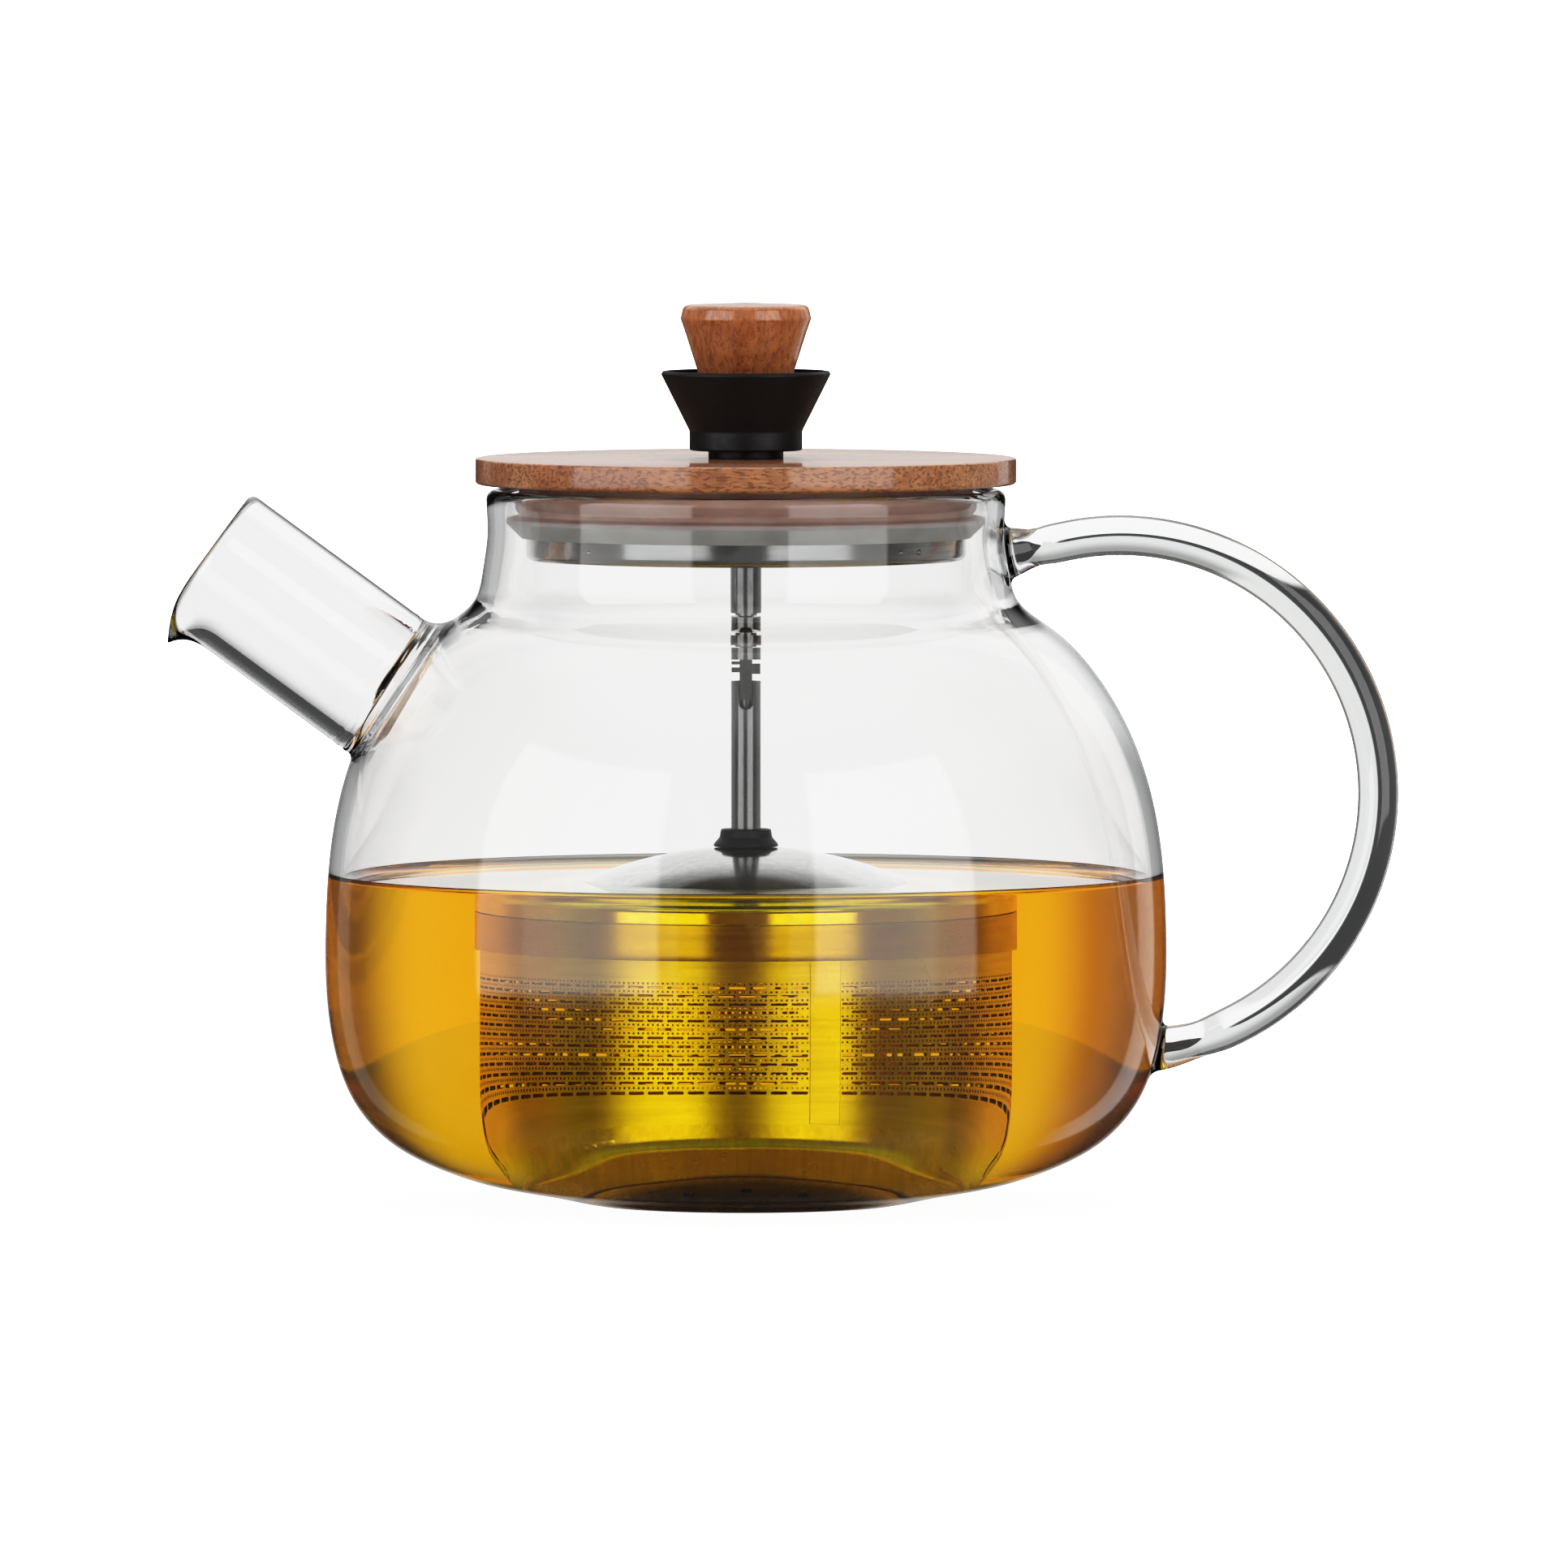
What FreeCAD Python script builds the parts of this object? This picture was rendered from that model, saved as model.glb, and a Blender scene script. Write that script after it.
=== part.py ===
import FreeCAD, Part
import math
import os

# Glass teapot with a lift-out infuser, in millimetres, +Z up.
# The origin is on the pot's axis, in the plane of its foot ring.
# The spout points to -X and the handle to +X.

# --- Driving dimensions -----------------------------------------------------

# Outline of the pot's outside as (radius, height), from the foot to the rim.
POT_OUTSIDE = [
    (24.5, 0.0), (31.5, 1.4), (41.1, 3.2), (49.9, 6.1), (57.4, 10.3), (62.7, 16.3),
    (66.3, 26.5), (67.4, 43.5), (65.6, 63.0), (61.4, 76.0), (56.0, 85.1), (48.4, 92.7),
    (43.5, 96.8), (42.1, 102.0), (41.4, 108.0), (41.6, 113.0),
]
WALL = 2.4
NECK_WALL = 2.85
RIM_TOP_Z = 114.5
FOOT_INNER_R = 20.0
PUNT_HEIGHT = 1.3
FLOOR_Z = 3.8
FLOOR_FLAT_R = 27.0
BASE_TOP_Z = 16.0
BELLY_TOP_Z = 52.0
NECK_LOW_Z = 96.0

SPOUT_OUTER_R = 12.2
SPOUT_BORE_R = 9.5
SPOUT_MOUTH = FreeCAD.Vector(-86.4, 0, 104.1)
SPOUT_SLOPE_DEG = 36.2
SPOUT_REACH = 60.0
SPOUT_LIP_ROUND = 0.9
SPOUT_BORE_LEAD = 5.0

HANDLE_ROD_R = 3.25
HANDLE_BOW_R = 41.4
HANDLE_BOW_X = 59.9
HANDLE_BOW_Z = 65.8
HANDLE_TOP_DEG = 101.6
HANDLE_LOW_DEG = -90.0
HANDLE_ARM = 16.0
HANDLE_ROOT_R = 5.6
HANDLE_ROOT_LENGTH = 10.9

DISC_R = 43.35
DISC_LOW_Z = 115.4
DISC_TOP_Z = 119.6
DISC_LOW_ROUND = 1.4
DISC_TOP_ROUND = 0.6
GROOVE_DEPTH = 1.6

PAN_R = 35.2
PAN_LOW_Z = 103.2
PAN_SHEET = 0.7
PAN_CORNER_R = 1.2
PAN_HOLE_R = 4.3
SEAL_R = 38.4
SEAL_LOW_Z = 106.9

ROD_R = 2.5
ROD_BORE_R = 1.8
GUIDE_R = 2.6
SLEEVE_R = 4.0
SLEEVE_LOW_Z = 110.2
SLEEVE_TOP_Z = 126.0
WASHER_R = 9.0
WASHER_LOW_Z = 114.2
NUT_LOW_Z = 110.6
NUT_FLATS = 13.0
BUSH_FLANGE_R = 6.5
BUSH_FLANGE = 1.2
BUSH_LENGTH = 5.3
GAP = 0.05

COLLAR_TOP_Z = 133.5
COLLAR_TOP_R = 13.6
COLLAR_FOOT_R = 6.0
COLLAR_FOOT_TOP_Z = 120.8
COLLAR_WAIST_R = 9.05
COLLAR_WAIST_Z = 123.9
COLLAR_RIM = 0.8
COLLAR_RECESS = 0.6
POCKET_FLOOR_Z = 128.7
POCKET_R = 7.9
KNOB_LOW_Z = 128.8
KNOB_TOP_Z = 144.5
KNOB_LOW_R = 7.1
KNOB_STRAIGHT_Z = 131.8
KNOB_WIDEST = (10.45, 141.8)
KNOB_EDGE = (10.35, 143.4)
KNOB_SHOULDER = (9.2, 144.35)
KNOB_HOLE_R = 4.0
KNOB_HOLE_TOP_Z = 137.0
INSERT_TOP_Z = 136.8
ROD_LOW_Z = 92.0
ROD_TOP_Z = 136.6

HOOK_WIDTH = 2.0
HOOK_THICK = 1.6
HOOK_LOW_Z = 80.9
HOOK_PLUG_LOW_Z = 91.6
HOOK_PLUG_LENGTH = 5.4
TOOTH_TIP = 2.3
# Catch teeth as (side, low height, high height).
TEETH = ((-1, 87.3, 88.0), (-1, 85.7, 86.7), (1, 85.4, 87.5))
BAND_R = 2.4
BAND_BORE_R = 1.35
BAND_LOW_Z = 88.4
BAND_TOP_Z = 91.4

FORK_TOP_Z = 84.1
FORK_SLOT_Z = 80.6
FORK_SLOT_HALF = 1.2
INFUSER_ROD_R = 2.4
INFUSER_ROD_BORE_R = 1.9
INFUSER_ROD_LOW_Z = 51.8

DOME_TOP_Z = 57.3
DOME_R = 66.0
DOME_SHEET = 0.5
DOME_CROWN_R = 16.0
DOME_EDGE_R = 31.4
DOME_TURN = 1.2
ROD_COLLAR_R = 5.15
ROD_COLLAR_TOP_Z = 60.1
DOME_WASHER_R = 6.0
DOME_WASHER_TOP_Z = 56.5
DOME_NUT_TOP_Z = 55.5
DOME_NUT_LOW_Z = 52.3
DOME_NUT_FLATS = 8.0
SKIRT_R = 32.6
SKIRT_SHEET = 0.4
SKIRT_LOW_Z = 41.0
SKIRT_TOP_Z = 46.6

BASKET_R = 31.95
BASKET_SHEET = 0.5
BASKET_LOW_Z = 17.5
BASKET_TOP_Z = 47.6
DISH_TOP_Z = 19.5
DISH_CORNER_R = 1.1
DISH_RECESS_R = 24.5
DISH_RECESS_RISE = 1.4
DRAIN_R = 0.8
DRAIN_RINGS = ((8.0, 6), (16.0, 12))
SLOT_ROWS = 5
SLOTS_PER_ROW = 24
SLOT_LENGTH = 2.4
SLOT_HEIGHT = 0.8
SLOT_LOW_Z = 23.4
SLOT_ROW_PITCH = 2.9
RIM_DEPTH = 1.4
RIM_SHEET = 0.9
RIM_FIT = 0.02

ORIGIN = FreeCAD.Vector(0, 0, 0)
UP = FreeCAD.Vector(0, 0, 1)
# How far a quarter round's middle lies from its corner's two sides, per unit of radius.
LEAN = 1 - math.sqrt(0.5)


# --- Helpers ----------------------------------------------------------------

def at(radius, height):
    """A point of a profile in the plane Y = 0."""
    return FreeCAD.Vector(radius, 0, height)


def line(start, end):
    return Part.LineSegment(at(*start), at(*end)).toShape()


def arc(start, middle, end):
    return Part.Arc(at(*start), at(*middle), at(*end)).toShape()


def turned(edges):
    """The solid that a closed profile sweeps about the pot's axis."""
    profile = Part.Face(Part.Wire(Part.__sortEdges__(edges)))
    solid = profile.revolve(ORIGIN, UP, 360)
    return Part.Solid(solid.Shells[0]) if solid.ShapeType != "Solid" else solid


def turned_outline(points):
    """A turned solid whose profile has straight sides."""
    closed = points + points[:1]
    return turned([line(a, b) for a, b in zip(closed, closed[1:])])


def tube(inner, outer, low, high):
    return turned_outline([(inner, low), (outer, low), (outer, high), (inner, high)])


def hexagon(across_flats, low, high, bore):
    corner = across_flats / math.sqrt(3)
    points = [
        FreeCAD.Vector(corner * math.cos(k * math.pi / 3), corner * math.sin(k * math.pi / 3), low)
        for k in range(7)
    ]
    block = Part.Face(Part.makePolygon(points)).extrude(UP * (high - low))
    return block.cut(Part.makeCylinder(bore, high - low, at(0, low)))


def on_sphere(radius, centre_z, r):
    return (r, centre_z + math.sqrt(radius ** 2 - r ** 2))


def crown(edge_r, edge_z, top_z):
    """A shallow dome's profile from its edge to the pot's axis."""
    rise = top_z - edge_z
    radius = (edge_r ** 2 + rise ** 2) / (2 * rise)
    middle = on_sphere(radius, top_z - radius, edge_r / 2)
    return arc((edge_r, edge_z), middle, (0, top_z))


def save(name, shape):
    if not shape.isValid() or len(shape.Solids) < 1:
        raise ValueError(name + " isn't a sound solid")
    solid = shape.Solids[0] if len(shape.Solids) == 1 else shape
    solid.exportStep("parts/" + name + ".step")
    print(name, len(shape.Solids), round(shape.Volume, 1))


# --- The glass pot ----------------------------------------------------------

def smooth_curve(points, first_slope, last_slope):
    curve = Part.BSplineCurve()
    curve.interpolate(
        Points=[at(*p) for p in points],
        InitialTangent=at(*first_slope),
        FinalTangent=at(*last_slope),
    )
    return curve


def pot_outside_curve():
    return smooth_curve(POT_OUTSIDE, (1, 0.15), (0, 1))


def pot_inside_points():
    """The outside points moved in by the wall's thickness, square to the glass."""
    curve = pot_outside_curve()
    inside = [(FLOOR_FLAT_R, FLOOR_Z)]
    for r, z in POT_OUTSIDE[2:]:
        along = curve.tangent(curve.parameter(at(r, z)))[0]
        wall = NECK_WALL if z > NECK_LOW_Z else WALL
        inside.append((r - along.z * wall, z + along.x * wall))
    return inside


def pot_outside_solid():
    """The pot as if it were solid glass, which trims the spout and the handle."""
    top_r, top_z = POT_OUTSIDE[-1]
    return turned([
        line((0, 0), POT_OUTSIDE[0]),
        pot_outside_curve().toShape(),
        line((top_r, top_z), (0, top_z)),
        line((0, top_z), (0, 0)),
    ])


def spout_frame():
    slope = math.radians(SPOUT_SLOPE_DEG)
    return FreeCAD.Vector(math.cos(slope), 0, -math.sin(slope))


def spout_bore():
    """From outside the mouth to the hollow of the pot."""
    along = spout_frame()
    start = SPOUT_MOUTH - along * SPOUT_BORE_LEAD
    return Part.makeCylinder(SPOUT_BORE_R, SPOUT_REACH + SPOUT_BORE_LEAD, start, along)


def pot_glass():
    """The whole blown pot, before it is divided into base, belly, shoulder and neck."""
    inside = pot_inside_points()
    rim_out = POT_OUTSIDE[-1]
    rim_in = inside[-1]
    rim_mid = ((rim_out[0] + rim_in[0]) / 2, RIM_TOP_Z)
    body = turned([
        line((0, FLOOR_Z), (FLOOR_FLAT_R, FLOOR_Z)),
        smooth_curve(inside, (1, 0), (0, 1)).toShape(),
        arc(rim_in, rim_mid, rim_out),
        pot_outside_curve().toShape(),
        line(POT_OUTSIDE[0], (FOOT_INNER_R, 0)),
        crown(FOOT_INNER_R, 0, PUNT_HEIGHT),
        line((0, PUNT_HEIGHT), (0, FLOOR_Z)),
    ])
    return body.cut(spout_bore())


def glass_between(low, high):
    radius = max(r for r, _ in POT_OUTSIDE) + 5
    return pot_glass().common(Part.makeCylinder(radius, high - low, at(0, low)))


def make_pot_base():
    return glass_between(-1, BASE_TOP_Z)


def make_pot_belly():
    return glass_between(BASE_TOP_Z, BELLY_TOP_Z)


def make_pot_shoulder():
    return glass_between(BELLY_TOP_Z, NECK_LOW_Z)


def make_pot_neck():
    return glass_between(NECK_LOW_Z, RIM_TOP_Z + 1)


def make_spout():
    tube_outside = Part.makeCylinder(SPOUT_OUTER_R, SPOUT_REACH, SPOUT_MOUTH, spout_frame())
    spout = tube_outside.cut(spout_bore())
    mouth = [
        e for e in spout.Edges
        if abs((e.CenterOfMass - SPOUT_MOUTH).Length) < 1e-3 and not e.isSeam(spout.Faces[0])
        and isinstance(e.Curve, Part.Circle)
    ]
    spout = spout.makeFillet(SPOUT_LIP_ROUND, mouth)
    return spout.cut(pot_outside_solid())


def bow_point(degrees):
    angle = math.radians(degrees)
    return (
        HANDLE_BOW_X + HANDLE_BOW_R * math.cos(angle),
        HANDLE_BOW_Z + HANDLE_BOW_R * math.sin(angle),
    )


def make_handle():
    """A bent glass rod: a straight arm from the neck, then one round bow."""
    top = bow_point(HANDLE_TOP_DEG)
    slope = math.radians(HANDLE_TOP_DEG - 90)
    start = (top[0] - HANDLE_ARM * math.cos(slope), top[1] - HANDLE_ARM * math.sin(slope))
    path = Part.Wire([line(start, top), arc(top, bow_point(0), bow_point(HANDLE_LOW_DEG))])
    outward = at(math.cos(slope), math.sin(slope))
    section = Part.Wire(Part.Circle(at(*start), outward, HANDLE_ROD_R).toShape())
    rod = path.makePipeShell([section], True, False)
    root = Part.makeCone(HANDLE_ROOT_R, HANDLE_ROD_R, HANDLE_ROOT_LENGTH, at(*start), outward)
    return rod.fuse(root).removeSplitter().cut(pot_outside_solid())


# --- The lid ----------------------------------------------------------------

def make_lid_disc():
    """A turned wooden disc with a groove that grips the pan's edge."""
    low_round = DISC_LOW_ROUND
    top_round = DISC_TOP_ROUND
    bore = SLEEVE_R + GAP
    disc = turned([
        line((bore, DISC_LOW_Z), (DISC_R - low_round, DISC_LOW_Z)),
        arc(
            (DISC_R - low_round, DISC_LOW_Z),
            (DISC_R - low_round * LEAN, DISC_LOW_Z + low_round * LEAN),
            (DISC_R, DISC_LOW_Z + low_round),
        ),
        line((DISC_R, DISC_LOW_Z + low_round), (DISC_R, DISC_TOP_Z - top_round)),
        arc(
            (DISC_R, DISC_TOP_Z - top_round),
            (DISC_R - top_round * LEAN, DISC_TOP_Z - top_round * LEAN),
            (DISC_R - top_round, DISC_TOP_Z),
        ),
        line((DISC_R - top_round, DISC_TOP_Z), (bore, DISC_TOP_Z)),
        line((bore, DISC_TOP_Z), (bore, DISC_LOW_Z)),
    ])
    groove = tube(
        PAN_R - PAN_SHEET - GAP, PAN_R + GAP, DISC_LOW_Z - 1, DISC_LOW_Z + GROOVE_DEPTH
    )
    return disc.cut(groove)


def make_lid_pan():
    """A shallow pressed cup whose open edge sits in the disc's groove."""
    corner = PAN_CORNER_R
    inner_corner = corner - PAN_SHEET
    hole = PAN_HOLE_R
    top = DISC_LOW_Z + GROOVE_DEPTH - GAP
    low = PAN_LOW_Z
    inner_r = PAN_R - PAN_SHEET
    floor = low + PAN_SHEET
    return turned([
        line((hole, low), (PAN_R - corner, low)),
        arc((PAN_R - corner, low), (PAN_R - corner * LEAN, low + corner * LEAN), (PAN_R, low + corner)),
        line((PAN_R, low + corner), (PAN_R, top)),
        line((PAN_R, top), (inner_r, top)),
        line((inner_r, top), (inner_r, floor + inner_corner)),
        arc(
            (inner_r, floor + inner_corner),
            (inner_r - inner_corner * LEAN, floor + inner_corner * LEAN),
            (inner_r - inner_corner, floor),
        ),
        line((inner_r - inner_corner, floor), (hole, floor)),
        line((hole, floor), (hole, low)),
    ])


def make_seal_ring():
    """A sleeve round the pan with two soft lips that grip the neck."""
    inner = PAN_R + GAP
    sleeve = inner + 1.1
    low = SEAL_LOW_Z
    return turned_outline([
        (inner, low), (sleeve - 0.4, low), (SEAL_R, low + 2.6), (SEAL_R, low + 3.3),
        (sleeve, low + 3.7), (sleeve, low + 4.6), (SEAL_R, low + 6.0), (SEAL_R, low + 6.6),
        (sleeve, low + 7.0), (sleeve, DISC_LOW_Z - GAP), (inner, DISC_LOW_Z - GAP),
    ])


def make_grip_collar():
    """A moulded collar on the disc, with a pocket that holds the knob."""
    bore = SLEEVE_R + GAP
    sleeve_top = SLEEVE_TOP_Z + GAP
    rod_hole = GUIDE_R + 0.1
    rim = COLLAR_TOP_R - COLLAR_RIM
    recess = COLLAR_TOP_Z - COLLAR_RECESS
    return turned_outline([
        (bore, DISC_TOP_Z), (COLLAR_FOOT_R, DISC_TOP_Z), (COLLAR_FOOT_R, COLLAR_FOOT_TOP_Z),
        (COLLAR_WAIST_R, COLLAR_FOOT_TOP_Z), (COLLAR_WAIST_R, COLLAR_WAIST_Z),
        (COLLAR_TOP_R, COLLAR_TOP_Z - 0.5), (COLLAR_TOP_R - 0.3, COLLAR_TOP_Z),
        (rim, COLLAR_TOP_Z), (rim, recess), (POCKET_R, recess), (POCKET_R, POCKET_FLOOR_Z),
        (rod_hole, POCKET_FLOOR_Z), (rod_hole, sleeve_top), (bore, sleeve_top),
    ])


def make_collar_sleeve():
    return tube(GUIDE_R, SLEEVE_R, SLEEVE_LOW_Z, SLEEVE_TOP_Z)


def make_collar_washer():
    return tube(SLEEVE_R + GAP, WASHER_R, WASHER_LOW_Z, DISC_LOW_Z)


def make_collar_nut():
    return hexagon(NUT_FLATS, NUT_LOW_Z, WASHER_LOW_Z, SLEEVE_R + GAP)


def make_guide_bush():
    """The lower guide of the pull rod, clipped into the pan's hole."""
    low = PAN_LOW_Z
    in_hole = PAN_HOLE_R - GAP
    flange_low = low + PAN_SHEET
    flange_top = flange_low + BUSH_FLANGE
    top = low + BUSH_LENGTH
    return turned_outline([
        (GUIDE_R, low), (in_hole, low), (in_hole, flange_low), (BUSH_FLANGE_R, flange_low),
        (BUSH_FLANGE_R, flange_top), (SLEEVE_R, flange_top), (SLEEVE_R, top), (GUIDE_R, top),
    ])


# --- The pull rod and its knob ----------------------------------------------

def make_knob():
    """A turned wooden knob, wider at the top, bored for its brass insert."""
    return turned([
        line((KNOB_HOLE_R, KNOB_LOW_Z), (KNOB_LOW_R, KNOB_LOW_Z)),
        line((KNOB_LOW_R, KNOB_LOW_Z), (KNOB_LOW_R, KNOB_STRAIGHT_Z)),
        line((KNOB_LOW_R, KNOB_STRAIGHT_Z), KNOB_WIDEST),
        arc(KNOB_WIDEST, KNOB_EDGE, KNOB_SHOULDER),
        crown(KNOB_SHOULDER[0], KNOB_SHOULDER[1], KNOB_TOP_Z),
        line((0, KNOB_TOP_Z), (0, KNOB_HOLE_TOP_Z)),
        line((0, KNOB_HOLE_TOP_Z), (KNOB_HOLE_R, KNOB_HOLE_TOP_Z)),
        line((KNOB_HOLE_R, KNOB_HOLE_TOP_Z), (KNOB_HOLE_R, KNOB_LOW_Z)),
    ])


def make_knob_insert():
    return tube(ROD_R + GAP, KNOB_HOLE_R - GAP, KNOB_LOW_Z + 2 * GAP, INSERT_TOP_Z)


def make_pull_rod():
    return tube(ROD_BORE_R, ROD_R, ROD_LOW_Z, ROD_TOP_Z)


def make_coupling_hook():
    """A flat tongue with catch teeth, on a plug that is fixed in the pull rod."""
    overlap = 0.5
    hook = Part.makeCylinder(ROD_BORE_R - GAP, HOOK_PLUG_LENGTH, at(0, HOOK_PLUG_LOW_Z))
    corner = FreeCAD.Vector(-HOOK_WIDTH / 2, -HOOK_THICK / 2, HOOK_LOW_Z)
    length = HOOK_PLUG_LOW_Z - HOOK_LOW_Z + overlap
    hook = hook.fuse(Part.makeBox(HOOK_WIDTH, HOOK_THICK, length, corner))
    inner = HOOK_WIDTH / 2 - 2 * GAP
    for side, low, high in TEETH:
        start_x = inner if side > 0 else -TOOTH_TIP
        corner = FreeCAD.Vector(start_x, -HOOK_THICK / 2, low)
        hook = hook.fuse(Part.makeBox(TOOTH_TIP - inner, HOOK_THICK, high - low, corner))
    return hook.removeSplitter()


def make_coupling_band():
    return tube(BAND_BORE_R, BAND_R, BAND_LOW_Z, BAND_TOP_Z)


# --- The infuser's rod and dome ---------------------------------------------

def make_infuser_rod():
    """A tube with a slot in its front that the hook drops into."""
    rod = tube(INFUSER_ROD_BORE_R, INFUSER_ROD_R, INFUSER_ROD_LOW_Z, FORK_TOP_Z)
    toward_front = FreeCAD.Vector(0, -1, 0)
    depth = 2 * INFUSER_ROD_R
    slot = Part.makeCylinder(FORK_SLOT_HALF, depth, at(0, FORK_SLOT_Z), toward_front)
    corner = FreeCAD.Vector(-FORK_SLOT_HALF, -depth, FORK_SLOT_Z)
    slot = slot.fuse(Part.makeBox(2 * FORK_SLOT_HALF, depth, FORK_TOP_Z - FORK_SLOT_Z + 1, corner))
    return rod.cut(slot)


def make_rod_collar():
    low = DOME_TOP_Z
    bore = INFUSER_ROD_R + GAP
    neck = ROD_COLLAR_R - 0.95
    return turned_outline([
        (bore, low), (ROD_COLLAR_R, low), (ROD_COLLAR_R, low + 0.4), (neck, low + 1.5),
        (neck - 0.2, ROD_COLLAR_TOP_Z), (bore, ROD_COLLAR_TOP_Z),
    ])


def make_dome_lid():
    """A spun dome whose edge turns down onto its skirt."""
    centre = DOME_TOP_Z - DOME_R
    inner_r = DOME_R - DOME_SHEET
    hole = INFUSER_ROD_R + GAP
    edge_out = on_sphere(DOME_R, centre, DOME_EDGE_R)
    edge_in = on_sphere(inner_r, centre, DOME_EDGE_R - 0.3)
    skirt_in = SKIRT_R - SKIRT_SHEET
    turn_z = edge_out[1] - DOME_TURN
    return turned([
        arc(on_sphere(DOME_R, centre, hole), on_sphere(DOME_R, centre, DOME_CROWN_R), edge_out),
        arc(edge_out, (SKIRT_R - 0.25, edge_out[1] - 0.35), (SKIRT_R, turn_z)),
        line((SKIRT_R, turn_z), (SKIRT_R, SKIRT_TOP_Z)),
        line((SKIRT_R, SKIRT_TOP_Z), (skirt_in, SKIRT_TOP_Z)),
        line((skirt_in, SKIRT_TOP_Z), (skirt_in, turn_z)),
        arc((skirt_in, turn_z), (skirt_in - 0.25, turn_z + 0.5), edge_in),
        arc(edge_in, on_sphere(inner_r, centre, DOME_CROWN_R), on_sphere(inner_r, centre, hole)),
        line(on_sphere(inner_r, centre, hole), on_sphere(DOME_R, centre, hole)),
    ])


def make_dome_skirt():
    """A plain band welded under the dome, which slips over the basket's edge."""
    return tube(SKIRT_R - SKIRT_SHEET, SKIRT_R, SKIRT_LOW_Z, SKIRT_TOP_Z)


def make_dome_washer():
    return tube(INFUSER_ROD_R + GAP, DOME_WASHER_R, DOME_NUT_TOP_Z, DOME_WASHER_TOP_Z)


def make_dome_nut():
    return hexagon(DOME_NUT_FLATS, DOME_NUT_LOW_Z, DOME_NUT_TOP_Z, INFUSER_ROD_R + GAP)


# --- The basket -------------------------------------------------------------

def make_basket_wall():
    """A rolled sheet with rows of slots, each row half a pitch on from the last."""
    wall = tube(BASKET_R - BASKET_SHEET, BASKET_R, DISH_TOP_Z, BASKET_TOP_Z)
    slots = []
    for row in range(SLOT_ROWS):
        for k in range(SLOTS_PER_ROW):
            corner = FreeCAD.Vector(
                BASKET_R - 2, -SLOT_LENGTH / 2, SLOT_LOW_Z + row * SLOT_ROW_PITCH
            )
            slot = Part.makeBox(4, SLOT_LENGTH, SLOT_HEIGHT, corner)
            turn = 360 / SLOTS_PER_ROW * (k + 0.5 * (row % 2))
            slot.rotate(ORIGIN, UP, turn)
            slots.append(slot)
    return wall.cut(Part.makeCompound(slots))


def make_basket_base():
    """A pressed dish with a raised middle and drain holes, which closes the wall's lower end."""
    low = BASKET_LOW_Z
    floor = low + BASKET_SHEET
    corner = DISH_CORNER_R
    inner_corner = corner - BASKET_SHEET
    inner_r = BASKET_R - BASKET_SHEET
    step = DISH_RECESS_RISE
    raised_r = DISH_RECESS_R - step
    dish = turned([
        line((0, low + step), (raised_r, low + step)),
        line((raised_r, low + step), (DISH_RECESS_R, low)),
        line((DISH_RECESS_R, low), (BASKET_R - corner, low)),
        arc(
            (BASKET_R - corner, low),
            (BASKET_R - corner * LEAN, low + corner * LEAN),
            (BASKET_R, low + corner),
        ),
        line((BASKET_R, low + corner), (BASKET_R, DISH_TOP_Z)),
        line((BASKET_R, DISH_TOP_Z), (inner_r, DISH_TOP_Z)),
        line((inner_r, DISH_TOP_Z), (inner_r, floor + inner_corner)),
        arc(
            (inner_r, floor + inner_corner),
            (inner_r - inner_corner * LEAN, floor + inner_corner * LEAN),
            (inner_r - inner_corner, floor),
        ),
        line((inner_r - inner_corner, floor), (DISH_RECESS_R, floor)),
        line((DISH_RECESS_R, floor), (raised_r, floor + step)),
        line((raised_r, floor + step), (0, floor + step)),
        line((0, floor + step), (0, low + step)),
    ])
    below, height = low - 1, 5
    drains = [Part.makeCylinder(DRAIN_R, height, at(0, below))]
    for ring_r, count in DRAIN_RINGS:
        for k in range(count):
            angle = 2 * math.pi * k / count
            place = FreeCAD.Vector(ring_r * math.cos(angle), ring_r * math.sin(angle), below)
            drains.append(Part.makeCylinder(DRAIN_R, height, place))
    return dish.cut(Part.makeCompound(drains))


def make_basket_rim():
    """A stiffening ring welded inside the wall's upper edge."""
    outer = BASKET_R - BASKET_SHEET - RIM_FIT
    return tube(outer - RIM_SHEET, outer, BASKET_TOP_Z - RIM_DEPTH, BASKET_TOP_Z)


MAKERS = {
    "pot_base": make_pot_base,
    "pot_belly": make_pot_belly,
    "pot_shoulder": make_pot_shoulder,
    "pot_neck": make_pot_neck,
    "spout": make_spout,
    "handle": make_handle,
    "lid_disc": make_lid_disc,
    "lid_pan": make_lid_pan,
    "seal_ring": make_seal_ring,
    "grip_collar": make_grip_collar,
    "collar_sleeve": make_collar_sleeve,
    "collar_washer": make_collar_washer,
    "collar_nut": make_collar_nut,
    "guide_bush": make_guide_bush,
    "knob": make_knob,
    "knob_insert": make_knob_insert,
    "pull_rod": make_pull_rod,
    "coupling_hook": make_coupling_hook,
    "coupling_band": make_coupling_band,
    "infuser_rod": make_infuser_rod,
    "rod_collar": make_rod_collar,
    "dome_lid": make_dome_lid,
    "dome_skirt": make_dome_skirt,
    "dome_washer": make_dome_washer,
    "dome_nut": make_dome_nut,
    "basket_wall": make_basket_wall,
    "basket_base": make_basket_base,
    "basket_rim": make_basket_rim,
}

os.makedirs("parts", exist_ok=True)
for node, maker in MAKERS.items():
    save(node, maker())
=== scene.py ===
import math

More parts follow.
